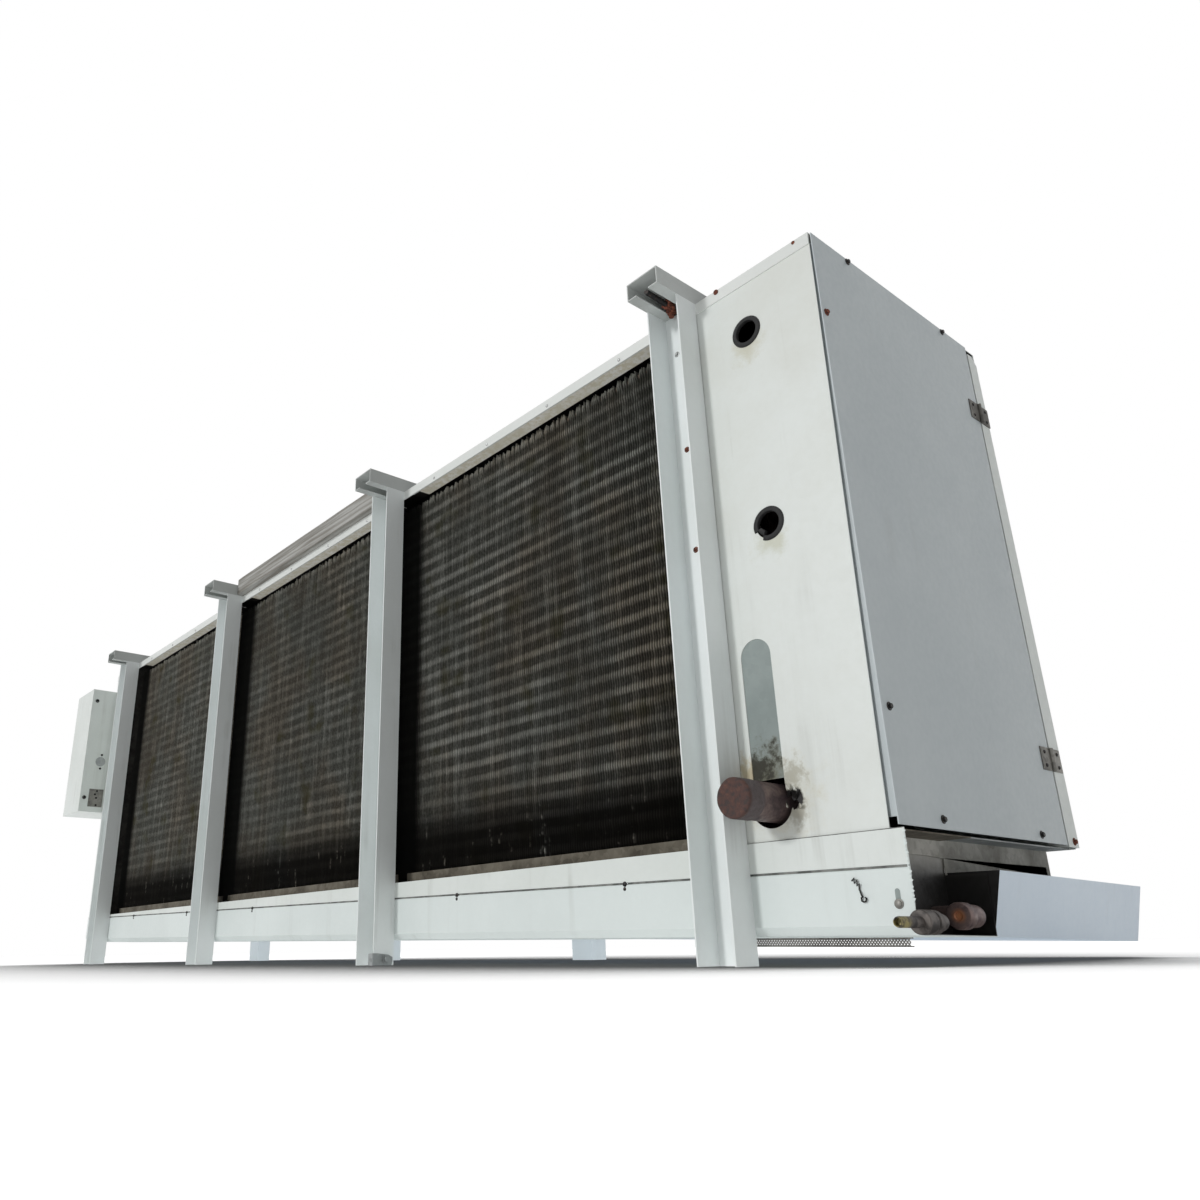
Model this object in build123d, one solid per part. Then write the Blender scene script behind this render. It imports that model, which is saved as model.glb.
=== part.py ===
"""Large draw-through evaporator (unit cooler) with three fan bays, standing on its mounting posts.

Millimetres, +Z up. The coil's air-inlet face looks along -Y, the fans stand on the +Y side and the
service compartment with its hinged end door is at the +X end. Shapes are drawn with X measured
from the casing's right end, Y from its coil-side face and Z from the floor, and every piece is
then moved so that the origin is the middle of the machine's footprint.
"""
import os
from math import atan, cos, degrees, radians, sin, tan

from build123d import *

# Casing
casing_length = 3905.0
casing_depth = 656.0
casing_top = 1315.0
casing_bottom = 198.0
sheet = 2.0
lip_height = 26.0
coil_recess = 38.0
fan_panel_depth = 34.0

# Posts and the hanger channels across the top
bay_count = 3
left_end_width = 251.5
post_width = 83.0
post_flange = 59.0
post_wall = 3.0
last_post_inset = 359.0
hanger_height = 41.0
hanger_front_overhang = 59.0
hanger_rear_overhang = 43.0
hanger_lip_share = 0.3
hanger_wall = 2.5

# Board wedged between the two middle hangers
board_thickness = 38.0
board_height = 64.0
board_overhang = 24.0

# Coil
coil_depth = 198.0
tube_row_pitch = 38.1
tube_bank_pitch = 33.0
sill_upstand = 25.0
slab_gap = 45.0
fin_depth = 18.0
fins_per_bay = 8

# Service compartment at the right end
front_panel_taper = 11.0
grommet_radius = 28.0
grommet_rim = 5.0
grommet_depth = 9.0
grommet_sides = 32
grommet_offset = 160.0
grommet_heights = (1181.0, 764.0)
suction_offset = 220.0
suction_height = 262.0
suction_hole_radius = 43.0
slot_width = 64.0
slot_top = 555.0
slot_cover_margin = 12.0
slot_cover_gap = 6.0
tear = ((-190.0, 262.0), (-186.0, 250.0), (-181.0, 253.0), (-176.0, 245.0), (-170.0, 247.0),
        (-165.0, 256.0), (-168.0, 262.0), (-174.0, 260.0), (-180.0, 268.0))

# End door and its hinges
door_gap = 5.0
door_flange = 13.0
door_edge_gap = 2.0
door_top_gap = 4.0
hinge_height = 45.0
hinge_leaf_width = 42.0
hinge_leaf = 2.0
knuckle_radius = 4.0
pin_radius = 2.0
pin_clearance = 0.08
knuckle_gap = 0.4
hinge_heights = (365.0, 1137.0)
jamb_depth = 30.0
strip_lean = 10.0
strip_bent_height = 80.0
strip_bend = 18.0

# Suction header and capped stub
suction_radius = 33.35
suction_reach = 102.0
cap_wall = 2.5
cap_length = 42.0
header_setback = 150.0
header_top = 1210.0
feeder_radius = 7.6

# Drain pans: the coil pan under the coil, the fan pan under the plenum and fans
pan_slope = 0.0126
pan_rim_height = 139.0
pan_depth = 82.0
pan_rear_margin = 7.0
pan_chamfer = 14.0
pan_fall = 3.0
pan_joggle = 25.0
pan_joggle_foot = 12.0
groove = 5.0
pan_overreach = 13.0
fan_pan_floor = 40.0
fan_pan_height = 103.0
fan_pan_reach = 186.0
fan_pan_slope = 0.0195
fan_pan_flare = 24.0
fan_pan_tilt = 0.0168
fan_pan_end = 8.0
leg_clearance = 1.5
seat = 0.3
sump_plate_inset = 55.0
sump_plate_front_drop = 28.0
sump_plate_rear_drop = 48.0
pan_end_inset = 58.0
pan_end_rise = 31.0

# Pipe stubs that leave the coil pan's open end and turn towards the coil face
stub_length = 260.0
gas_stub_radius = 17.5
gas_cap_radius = 20.6
gas_cap_length = 22.0
gas_stub_overhang = 15.0
gas_stub_front = 121.0
gas_stub_offset = 190.0
gas_stub_drop = 68.0
liquid_stub_radius = 12.7
liquid_stub_offset = 52.0
liquid_stub_drop = 78.0
valve_radius = 17.5
valve_front = 26.0
valve_length = 42.0
nipple_radius = 8.0
nipple_length = 60.0
stub_bend = 26.0
elbow_count = 3

# Mesh strip under the pan's right end
mesh_length = 290.0
mesh_end = 5.0
mesh_drop = 12.0

# Left end
control_width = 234.0
control_depth = 255.0
control_front = 105.0
control_bottom = 660.0
control_top = 1236.0
control_wall = 2.0
control_cover_lip = 18.0

# Fans
fan_hole_radius = 387.0
fan_collar = 40.0
blade_tip_radius = 375.0
blade_count = 4
hub_radius = 70.0
hub_length = 60.0
blade_root_chord = 150.0
blade_tip_chord = 210.0
blade_root_pitch = 38.0
blade_tip_pitch = 20.0
blade_thickness = 3.0
blade_camber_share = 0.1
blade_edge_share = 0.5
blade_chords = 4
blade_spans = 3
fan_setback = 70.0
motor_radius = 83.0
motor_length = 230.0
motor_gap = 12.0
shaft_radius = 11.0
guard_radius = 410.0
guard_ring_width = 6.0
guard_rings = 3
guard_spokes = 8
guard_offset = 70.0
guard_sides = 16
guard_legs = 4
mount_width = 40.0
mount_span = 860.0
mount_wall = 4.0

overrun = 5.0

# Places worked out from the sizes above
plenum_back = casing_depth - sheet
fan_face = casing_depth + fan_panel_depth
right_bulkhead = -(last_post_inset - post_width / 2)
left_bulkhead = -(casing_length - left_end_width)
bay_pitch = (right_bulkhead - left_bulkhead) / bay_count
post_lefts = [-last_post_inset - (bay_count - i) * bay_pitch for i in range(bay_count + 1)]
slabs = [(left + post_width + slab_gap, left + bay_pitch + post_width / 2 - sheet)
         for left in post_lefts[:bay_count]]
bay_centres = [left_bulkhead + (i + 1 / 2) * bay_pitch for i in range(bay_count)]
fan_axis_height = (casing_bottom + casing_top) / 2
pan_angle = degrees(atan(pan_slope))
fan_pan_angle = degrees(atan(fan_pan_tilt))
door_face = door_gap + sheet
hinge_y = casing_depth - strip_lean - hinge_leaf_width
hinge_x = door_face + knuckle_radius
coil_front = coil_recess
coil_back = coil_recess + coil_depth
pan_width = coil_back + pan_rear_margin
pan_back_drop = pan_depth + pan_chamfer + pan_fall
fan_pan_width = casing_depth + fan_pan_reach - pan_width - seat
liquid_stub_overhang = pan_overreach + valve_radius + seat

# The machine's furthest points, which centre the footprint
reach_left = -casing_length - control_width
reach_right = (liquid_stub_overhang * cos(radians(pan_angle))
               - liquid_stub_drop * sin(radians(pan_angle)) + valve_radius)
reach_front = -(post_flange + hanger_front_overhang)
reach_back = (pan_width + seat + fan_pan_width * cos(radians(fan_pan_angle))
              + fan_pan_height * sin(radians(fan_pan_angle)))
footprint_shift = (-(reach_left + reach_right) / 2, -(reach_front + reach_back) / 2, 0)


def block(x0, x1, y0, y1, z0, z1):
    """A box between two corners."""
    solid = Box(x1 - x0, y1 - y0, z1 - z0, align=(Align.MIN, Align.MIN, Align.MIN))
    return Pos(x0, y0, z0) * solid


def prism(points, plane, length):
    """An outline drawn on a plane and pushed out along the plane's normal."""
    outline = make_face(Polyline(*points, close=True).edges())
    return extrude(plane * outline, amount=length)


def rod(start, end, radius):
    """A round bar between two points."""
    along = Vector(*end) - Vector(*start)
    plane = Plane(origin=start, z_dir=along)
    return extrude(plane * Circle(radius), amount=along.length)


def elbow_rod(start, corner, end, bend, radius):
    """A round bar with one elbow, which is made of short straight lengths with mitred joints."""
    into = (Vector(*corner) - Vector(*start)).normalized()
    out = (Vector(*end) - Vector(*corner)).normalized()
    centre = Vector(*corner) - into * bend + out * bend
    points = [Vector(*start)]
    for k in range(elbow_count + 1):
        turn = radians(90) * k / elbow_count
        points.append(centre - out * (bend * cos(turn)) + into * (bend * sin(turn)))
    points.append(Vector(*end))
    path = Polyline(*points)
    section = Plane(origin=path @ 0, z_dir=path % 0) * Circle(radius)
    return sweep(section, path=path, transition=Transition.RIGHT)


def save(name, *solids):
    """Moves a piece into the footprint's frame and writes it."""
    shape = solids[0] if len(solids) == 1 else Compound(children=list(solids))
    export_step(Pos(*footprint_shift) * shape, "parts/%s.step" % name)


def channel(width, flange, wall, length):
    """A plain channel along +Z: its web lies on y = 0 and its flanges point towards -Y."""
    outside = block(0, width, -flange, 0, 0, length)
    inside = block(wall, width - wall, -flange - overrun, -wall, -overrun, length + overrun)
    return outside - inside


def make_posts():
    rear_posts = []
    for i, left in enumerate(post_lefts):
        front = Pos(left, 0, 0) * channel(post_width, post_flange, post_wall, casing_top)
        save("coil_post_%d" % (i + 1), front)
        # The last fan-side post has lost its foot below the casing.
        foot = casing_bottom if i == bay_count else 0
        rear = channel(post_width, post_flange, post_wall, casing_top - foot)
        rear_posts.append(Pos(left, fan_face, foot) * rear.mirror(Plane.XZ))
    save("fan_posts", *rear_posts)


def make_hangers():
    lip = post_width * hanger_lip_share
    length = fan_face + post_flange + hanger_rear_overhang - reach_front
    outside = block(0, post_width, 0, length, 0, hanger_height)
    inside = block(hanger_wall, post_width - hanger_wall, -overrun, length + overrun, hanger_wall,
                   hanger_height - hanger_wall)
    slot = block(lip, post_width - lip, -overrun, length + overrun, -overrun, 2 * hanger_wall)
    hanger = outside - inside - slot
    save("hangers", *[Pos(left, reach_front, casing_top) * hanger for left in post_lefts])


def make_spacer_board():
    left = post_lefts[1] + post_width
    right = post_lefts[2]
    board = block(left, right, -board_overhang, board_thickness - board_overhang,
                  casing_top, casing_top + board_height)
    save("spacer_board", board)


def make_top_panel():
    plate = block(-casing_length, 0, 0, casing_depth, casing_top - sheet, casing_top)
    front_lip = block(-casing_length, 0, 0, sheet, casing_top - lip_height, casing_top)
    rear_lip = block(-casing_length, 0, plenum_back, casing_depth, casing_top - lip_height, casing_top)
    panel = plate + front_lip + rear_lip
    for left, right in slabs:
        panel += block(left, right, 0, coil_front, casing_top - lip_height, casing_top - lip_height + sheet)
    save("top_panel", panel)


def rim_height(x):
    """Height of the coil pan's sloping rim at a place along the machine."""
    return pan_rim_height - x * pan_slope


def make_pan_rail():
    left, right = -casing_length, pan_overreach
    skirt = prism([(left, casing_bottom), (right, casing_bottom), (right, rim_height(right) + groove),
                   (left, rim_height(left) + groove)], Plane.XZ, -sheet)
    save("pan_rail", skirt)
    shelf = block(left, 0, sheet, coil_back, casing_bottom - sheet, casing_bottom)
    save("coil_shelf", shelf)
    save("coil_sill", *[block(left, right, coil_front - sheet, coil_front, casing_bottom,
                              casing_bottom + sill_upstand) for left, right in slabs])


def make_coil():
    """The fin slabs, one a bay: each a core, with a few of its many fins standing out in front."""
    top = casing_top - sheet
    fins = []
    for left, right in slabs:
        slab = block(left, right, coil_front + fin_depth, coil_back, casing_bottom, top)
        pitch = (right - left - sheet) / fins_per_bay
        for k in range(fins_per_bay + 1):
            x = left + k * pitch
            slab += block(x, x + sheet, coil_front, coil_front + fin_depth, casing_bottom, top)
        fins.append(slab)
    save("coil_fins", *fins)
    wall = block(0, sheet, sheet, plenum_back, casing_bottom, casing_top - sheet)
    save("left_tube_sheet", Pos(left_bulkhead, 0, 0) * wall)
    save("right_tube_sheet", Pos(right_bulkhead - sheet, 0, 0) * wall)


def make_service_front():
    """The front panel of the service compartment, with its grommets, pipe hole and covered slot."""
    through = 2 * sheet + overrun
    inner_top = casing_top - sheet
    front = prism([(right_bulkhead, casing_bottom), (-front_panel_taper, casing_bottom), (0, inner_top),
                   (right_bulkhead, inner_top)], Plane.XZ.offset(-sheet), -sheet)
    for height in grommet_heights:
        front -= rod((-grommet_offset, 0, height), (-grommet_offset, through, height), grommet_radius)
    front -= rod((-suction_offset, 0, suction_height), (-suction_offset, through, suction_height),
                 suction_hole_radius)
    slot_round = slot_top - slot_width / 2
    front -= block(-suction_offset - slot_width / 2, -suction_offset + slot_width / 2, 0, through,
                   suction_height, slot_round)
    front -= rod((-suction_offset, 0, slot_round), (-suction_offset, through, slot_round), slot_width / 2)
    front -= prism(tear, Plane.XZ, -through)
    save("service_front_panel", front)

    half = slot_width / 2 + slot_cover_margin
    cover = block(-suction_offset - half, -suction_offset + half, 2 * sheet, 3 * sheet,
                  suction_height + suction_radius + slot_cover_gap, slot_top + slot_cover_margin)
    save("slot_cover", cover)

    ring = Pos(0, 0, -2 * sheet) * extrude(RegularPolygon(grommet_radius, grommet_sides),
                                           amount=grommet_depth - sheet)
    ring += Pos(0, 0, -sheet) * extrude(RegularPolygon(grommet_radius + grommet_rim, grommet_sides),
                                        amount=grommet_depth / 2)
    ring -= Cylinder(grommet_radius - grommet_rim, 2 * grommet_depth + overrun)
    save("grommets", *[Pos(-grommet_offset, 0, height) * Rot(90, 0, 0) * ring for height in grommet_heights])


def make_service_rear():
    """The fan-side panel of the compartment, and the strip that carries the door's hinges."""
    inner_top = casing_top - sheet
    panel = block(right_bulkhead, 0, plenum_back - sheet, plenum_back, casing_bottom, inner_top)
    panel += block(-overrun, door_gap, plenum_back - sheet, plenum_back, casing_bottom + sheet,
                   casing_bottom + jamb_depth)
    strip_front = hinge_y + knuckle_radius
    strip_back = plenum_back
    bent = inner_top - strip_bent_height
    outline = [(strip_front, casing_bottom + sheet), (strip_back, casing_bottom + sheet),
               (strip_back - strip_lean, bent), (strip_back - strip_lean, inner_top - 2 * strip_bend),
               (strip_back - strip_lean - strip_bend, inner_top - strip_bend),
               (strip_front, inner_top - strip_bend)]
    strip = Pos(door_gap, 0, 0) * prism(outline, Plane.YZ, sheet)
    jamb = block(-jamb_depth, door_gap, strip_front, strip_front + sheet, casing_bottom + sheet,
                 inner_top - strip_bend)
    save("service_rear_panel", panel + strip + jamb)


def make_service_floor():
    save("service_floor", block(right_bulkhead, -front_panel_taper, 2 * sheet, plenum_back - sheet,
                                casing_bottom, casing_bottom + sheet))
    # Closes the gap between the casing and the pans, with a lower edge that follows the pans' rims.
    under_shelf = casing_bottom - sheet
    rim_clear = coil_back - sump_plate_inset
    outline = [(2 * sheet + seat, under_shelf), (coil_back + seat, under_shelf),
               (coil_back + seat, casing_bottom), (plenum_back, casing_bottom),
               (plenum_back, casing_bottom - sump_plate_rear_drop),
               (rim_clear, casing_bottom - sump_plate_front_drop),
               (2 * sheet + seat, casing_bottom - sump_plate_front_drop)]
    plate = Pos(-sump_plate_inset - sheet, 0, 0) * prism(outline, Plane.YZ, sheet)
    save("sump_plate", plate)


def make_door():
    back = hinge_y - door_edge_gap
    low, high = casing_bottom + door_gap, casing_top - sheet - door_top_gap
    door = block(door_gap, door_face, 0, back, low, high)
    edge = 2 * sheet + door_gap
    door += block(-door_flange, door_gap, edge, edge + sheet, low + door_flange, high - door_flange)
    save("end_door", door)

    leaves, fixed = [], []
    third = hinge_height / 3
    inner = knuckle_radius + knuckle_gap
    leaf_x = (door_face, door_face + hinge_leaf)
    for height in hinge_heights:
        bottom = height - hinge_height / 2
        top = bottom + hinge_height
        low_joint, high_joint = bottom + third, top - third
        leaf = block(*leaf_x, hinge_y - hinge_leaf_width, hinge_y - inner, bottom, top)
        leaf += block(*leaf_x, hinge_y - hinge_leaf_width, hinge_y, low_joint + knuckle_gap,
                      high_joint - knuckle_gap)
        leaf += rod((hinge_x, hinge_y, low_joint + knuckle_gap), (hinge_x, hinge_y, high_joint - knuckle_gap),
                    knuckle_radius)
        leaf -= rod((hinge_x, hinge_y, bottom), (hinge_x, hinge_y, top), pin_radius + pin_clearance)
        leaves.append(leaf)

        other = block(*leaf_x, hinge_y + inner, hinge_y + hinge_leaf_width, bottom, top)
        for start in (bottom, high_joint):
            other += block(*leaf_x, hinge_y, hinge_y + hinge_leaf_width, start, start + third)
            other += rod((hinge_x, hinge_y, start), (hinge_x, hinge_y, start + third), knuckle_radius)
        other += rod((hinge_x, hinge_y, bottom), (hinge_x, hinge_y, top), pin_radius)
        fixed.append(other)
    save("door_hinge_leaves", *leaves)
    save("frame_hinge_leaves", *fixed)


def make_suction_header():
    low = suction_height - suction_radius
    header = rod((-suction_offset, header_setback, low), (-suction_offset, header_setback, header_top),
                 suction_radius)
    stub_end = -suction_reach + cap_length / 2
    header += rod((-suction_offset, header_setback, suction_height),
                  (-suction_offset, stub_end, suction_height), suction_radius)
    # One feeder for every third pair of tube rows.
    spacing = 6 * tube_row_pitch
    for i in range(int((header_top - low) / spacing)):
        height = low + spacing * (i + 1 / 2)
        header += rod((right_bulkhead, header_setback, height), (-suction_offset, header_setback, height),
                      feeder_radius)
    save("suction_header", header)
    cap_back = -suction_reach + cap_length
    cap = rod((-suction_offset, -suction_reach, suction_height), (-suction_offset, cap_back, suction_height),
              suction_radius + cap_wall)
    cap -= rod((-suction_offset, stub_end, suction_height),
               (-suction_offset, cap_back + overrun, suction_height), suction_radius)
    save("suction_cap", cap)


def pan_place(shape):
    """Puts a piece drawn from the coil pan's right-hand rim onto the sloping pan."""
    return Pos(0, 0, pan_rim_height) * Rot(0, pan_angle, 0) * shape


def pan_section(wall, top):
    """The coil pan's outline, moved in by a wall: a chamfered front edge and a nearly level floor."""
    floor = -pan_depth - pan_chamfer + wall
    return [(wall, top), (wall, -pan_depth + wall / 2), (pan_chamfer + wall / 2, floor),
            (pan_width - wall, floor - pan_fall), (pan_width - wall, top)]


def make_coil_pan():
    left, right = -casing_length, pan_overreach
    length = right - left
    outer = Pos(left, 0, 0) * prism(pan_section(0, 0), Plane.YZ, length)
    inner = Pos(left + sheet, 0, 0) * prism(pan_section(sheet, overrun), Plane.YZ, length + overrun)
    pan = outer - inner
    # The stubs pass through the end wall, which stands back from the pan's open end.
    wall_top = [(2 * sheet + seat, 0), (2 * sheet + seat, pan_end_rise), (pan_width, pan_end_rise),
                (pan_width, 0)]
    pan += Pos(-pan_end_inset - sheet, 0, 0) * prism(wall_top, Plane.YZ, sheet)
    pan += Pos(-pan_end_inset - sheet, 0, 0) * prism(pan_section(sheet / 2, 0), Plane.YZ, sheet)
    for y, drop, radius in ((gas_stub_offset, gas_stub_drop, gas_stub_radius),
                            (liquid_stub_offset, liquid_stub_drop, liquid_stub_radius)):
        pan -= rod((-pan_end_inset - sheet - overrun, y, -drop), (-pan_end_inset + overrun, y, -drop),
                   radius + seat)
    # The upstand behind the rail is level with the casing at the shallow end and runs to a point.
    upstand = prism([(left, rim_height(left) - pan_joggle_foot), (right, rim_height(right) - pan_joggle_foot),
                     (right, rim_height(right) + pan_joggle), (left, casing_bottom - sheet - seat)],
                    Plane.XZ.offset(-sheet), -sheet)
    save("coil_pan", pan_place(pan) + upstand)


def make_stubs():
    x, y, z = gas_stub_overhang, gas_stub_offset, -gas_stub_drop
    cap_back = gas_stub_front + gas_cap_length
    stub = elbow_rod((x, cap_back - gas_cap_length / 2, z), (x, y, z), (-stub_length, y, z), stub_bend,
                     gas_stub_radius)
    stub += rod((x, gas_stub_front, z), (x, cap_back, z), gas_cap_radius)
    save("hot_gas_stub", pan_place(stub))

    x, y, z = liquid_stub_overhang, liquid_stub_offset, -liquid_stub_drop
    valve_back = valve_length - valve_front
    stub = elbow_rod((x, 0, z), (x, y, z), (-stub_length, y, z), stub_bend, liquid_stub_radius)
    stub += rod((x, -valve_front, z), (x, valve_back, z), valve_radius)
    stub += rod((x, -valve_front - nipple_length, z), (x, 0, z), nipple_radius)
    save("liquid_line_stub", pan_place(stub))

    top = -pan_depth - pan_chamfer - pan_fall * sheet / pan_width - seat
    mesh = block(-mesh_length, -mesh_end, pan_chamfer, pan_chamfer + sheet, top - mesh_drop, top)
    save("pan_mesh_strip", pan_place(mesh))


def make_fan_pan():
    """A tray with flared ends whose floor rises towards the left faster than its rim does."""
    left, right = -casing_length, fan_pan_end
    flare = fan_pan_flare / fan_pan_height
    rise = tan(atan(fan_pan_slope) - radians(pan_angle))

    def section(wall, top, width):
        right_foot = right - wall * (1 - flare)
        left_foot = left + wall
        floor_left = wall + rise * (right - left)
        return prism([(left_foot - flare * floor_left, floor_left), (right_foot, wall),
                      (right_foot + flare * (top - wall), top), (left_foot - flare * top, top)],
                     Plane.XZ, -width)

    pan = section(0, fan_pan_height, fan_pan_width)
    pan -= Pos(0, sheet, 0) * section(sheet, fan_pan_height + overrun, fan_pan_width - 2 * sheet)
    pan = Pos(0, pan_width + seat, fan_pan_floor) * Rot(0, pan_angle, 0) * Rot(-fan_pan_angle, 0, 0) * pan
    for left_edge in post_lefts[:bay_count]:
        pan -= block(left_edge - leg_clearance, left_edge + post_width + leg_clearance,
                     fan_face - leg_clearance, fan_face + post_flange + leg_clearance, 0, casing_bottom)
    save("fan_pan", pan)


def make_left_end():
    inner_top = casing_top - sheet
    housing = block(-casing_length, left_bulkhead, sheet, plenum_back, casing_bottom, inner_top)
    housing -= block(-casing_length + sheet, left_bulkhead + overrun, 2 * sheet, plenum_back - sheet,
                     casing_bottom + sheet, inner_top + overrun)
    save("left_end_housing", housing)

    left, right = -casing_length - control_width, -casing_length
    front = -control_front
    back = front + control_depth
    body = block(left, right, front + sheet, back, control_bottom, control_top)
    body -= block(left + control_wall, right - control_wall, front, back - control_wall,
                  control_bottom + control_wall, control_top - control_wall)
    save("control_box", body)
    cover = block(left, right, front, front + sheet, control_bottom, control_top)
    save("control_box_cover", cover)


def blade_section(share):
    """Points round a thin cambered section, at a share of the way from the blade's root to its tip."""
    radius = hub_radius - overrun + share * (blade_tip_radius - hub_radius + overrun)
    chord = blade_root_chord + share * (blade_tip_chord - blade_root_chord)
    pitch = radians(blade_root_pitch + share * (blade_tip_pitch - blade_root_pitch))
    upper, lower = [], []
    for i in range(blade_chords + 1):
        along = i / blade_chords
        rise = 4 * blade_camber_share * chord * along * (1 - along)
        half_thickness = blade_thickness / 2 * (1 if 0 < i < blade_chords else blade_edge_share)
        upper.append((chord * (along - 1 / 2), rise + half_thickness))
        lower.append((chord * (along - 1 / 2), rise - half_thickness))
    return [(x * cos(pitch) - y * sin(pitch), x * sin(pitch) + y * cos(pitch), radius)
            for x, y in upper + lower[::-1]]


def make_blade():
    """A twisted blade: a closed shell of triangles from section to section, from root to tip."""
    sections = [blade_section(k / blade_spans) for k in range(blade_spans + 1)]
    faces = []
    for inner, outer in zip(sections, sections[1:]):
        for k in range(len(inner)):
            following = (k + 1) % len(inner)
            faces.append((inner[k], inner[following], outer[following]))
            faces.append((inner[k], outer[following], outer[k]))
    for section in (sections[0], sections[-1]):
        faces.append(tuple(section))
    return Solid(Shell([Face(Wire.make_polygon([Vector(*p) for p in corners])) for corners in faces]))


def make_guard():
    """A ring guard of flat wire: concentric rings, spokes and legs back to the fan panel."""
    wire = guard_ring_width
    turn = 180 / guard_sides
    guard = None
    for k in range(guard_rings):
        radius = guard_radius * (k + 1) / guard_rings
        band = RegularPolygon(radius, guard_sides, rotation=turn)
        band -= RegularPolygon(radius - wire, guard_sides, rotation=turn)
        ring = extrude(band, amount=wire)
        guard = ring if guard is None else guard + ring
    leg_radius = guard_radius * cos(radians(turn))
    for k in range(guard_spokes):
        spoke = block(guard_radius / guard_rings - wire, leg_radius - wire / 2, -wire / 2, wire / 2, 0, wire)
        guard += Rot(0, 0, k * 360 / guard_spokes) * spoke
    for k in range(guard_legs):
        leg = block(leg_radius - wire, leg_radius, -wire / 2, wire / 2, 0, guard_offset)
        guard += Rot(0, 0, (k + 1 / 2) * 360 / guard_legs) * leg
    return guard


def make_motor_mount():
    """A strap that passes under the motor and runs back to the fan panel on both sides of its hole."""
    half = mount_span / 2
    back = -fan_setback - hub_length / 2 - motor_gap - motor_length / 2
    seat_height = -motor_radius
    strap = block(-half, half, back - mount_width / 2, back + mount_width / 2, seat_height - mount_wall,
                  seat_height)
    for left in (-half, half - mount_wall):
        strap += block(left, left + mount_wall, back - mount_width / 2, -sheet,
                       seat_height - mount_width, seat_height)
    return strap


def make_fans():
    blade = make_blade()
    hub_front = -fan_setback + hub_length / 2
    hub_back = -fan_setback - hub_length / 2
    fan = rod((0, hub_back, 0), (0, hub_front, 0), hub_radius)
    for k in range(blade_count):
        fan += Rot(0, k * 360 / blade_count, 0) * Pos(0, -fan_setback, 0) * blade
    motor_back = hub_back - motor_gap
    motor = rod((0, motor_back, 0), (0, motor_back - motor_length, 0), motor_radius)
    motor += rod((0, motor_back, 0), (0, hub_back, 0), shaft_radius)
    mount = make_motor_mount()
    guard = Pos(0, guard_offset, 0) * Rot(90, 0, 0) * make_guard()
    collar = rod((0, -sheet, 0), (0, fan_collar - sheet, 0), fan_hole_radius + sheet)
    hole = rod((0, -fan_panel_depth, 0), (0, fan_collar, 0), fan_hole_radius)

    places = [Pos(centre, fan_face, fan_axis_height) for centre in bay_centres]
    for i, centre in enumerate(bay_centres):
        left = left_bulkhead + i * bay_pitch
        panel = block(left, left + bay_pitch, casing_depth, fan_face, casing_bottom, casing_top)
        panel -= block(left + sheet, left + bay_pitch - sheet, casing_depth - overrun, fan_face - sheet,
                       casing_bottom + sheet, casing_top - sheet)
        save("fan_panel_%d" % (i + 1), panel + places[i] * collar - places[i] * hole)
        save("fan_%d" % (i + 1), places[i] * fan)
        save("fan_guard_%d" % (i + 1), places[i] * guard)
    save("fan_motors", *[place * motor for place in places])
    save("motor_mounts", *[place * mount for place in places])


def main():
    os.makedirs("parts", exist_ok=True)
    make_posts()
    make_hangers()
    make_spacer_board()
    make_top_panel()
    make_pan_rail()
    make_coil()
    make_service_front()
    make_service_rear()
    make_service_floor()
    make_door()
    make_suction_header()
    make_coil_pan()
    make_stubs()
    make_fan_pan()
    make_left_end()
    make_fans()


main()
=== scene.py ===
# %% [markdown]
# # A three-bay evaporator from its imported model
#
# The construction of this cold-room cooler is already fixed: posts, casing, coil block, drain pans,
# fans and the hinged end door come in as a frame of plain metal shapes. Here they get their looks:
# corrugated fins, worn paint, rust, dirt, screws and hooks. Nothing that comes in is moved or resized.

# %% Load the frame
from math import cos, pi, radians, sin
from random import Random

import bmesh
import bpy
from mathutils import Matrix, Vector, noise


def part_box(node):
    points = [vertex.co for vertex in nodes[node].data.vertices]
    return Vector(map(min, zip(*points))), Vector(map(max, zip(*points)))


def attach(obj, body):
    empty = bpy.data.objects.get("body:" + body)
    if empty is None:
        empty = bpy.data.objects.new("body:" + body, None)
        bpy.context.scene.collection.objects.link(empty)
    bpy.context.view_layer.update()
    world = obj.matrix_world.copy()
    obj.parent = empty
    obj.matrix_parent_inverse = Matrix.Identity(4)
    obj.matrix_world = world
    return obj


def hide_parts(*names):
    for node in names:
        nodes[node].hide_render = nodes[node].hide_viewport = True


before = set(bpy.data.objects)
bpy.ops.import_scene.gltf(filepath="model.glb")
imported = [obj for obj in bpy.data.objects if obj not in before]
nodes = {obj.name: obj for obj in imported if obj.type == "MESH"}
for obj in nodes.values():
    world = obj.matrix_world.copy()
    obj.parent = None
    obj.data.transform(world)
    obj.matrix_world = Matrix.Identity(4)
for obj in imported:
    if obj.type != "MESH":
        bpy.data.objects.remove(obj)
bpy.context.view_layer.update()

# %% [markdown]
# All places below are measured as on the machine's own drawing: x from the right end of the casing,
# y from its coil face and z from the floor, in millimetres. One function turns such a place into
# metres in the frame, so a screw drawn at x = -502 sits on the sheet that carries it. The values
# beside it are the ones that several cells share: the posts and bays, the sheets at the ends of the
# coil, the pitch of the tube rows, and the coil pan's rim, which rises towards the left.

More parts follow.
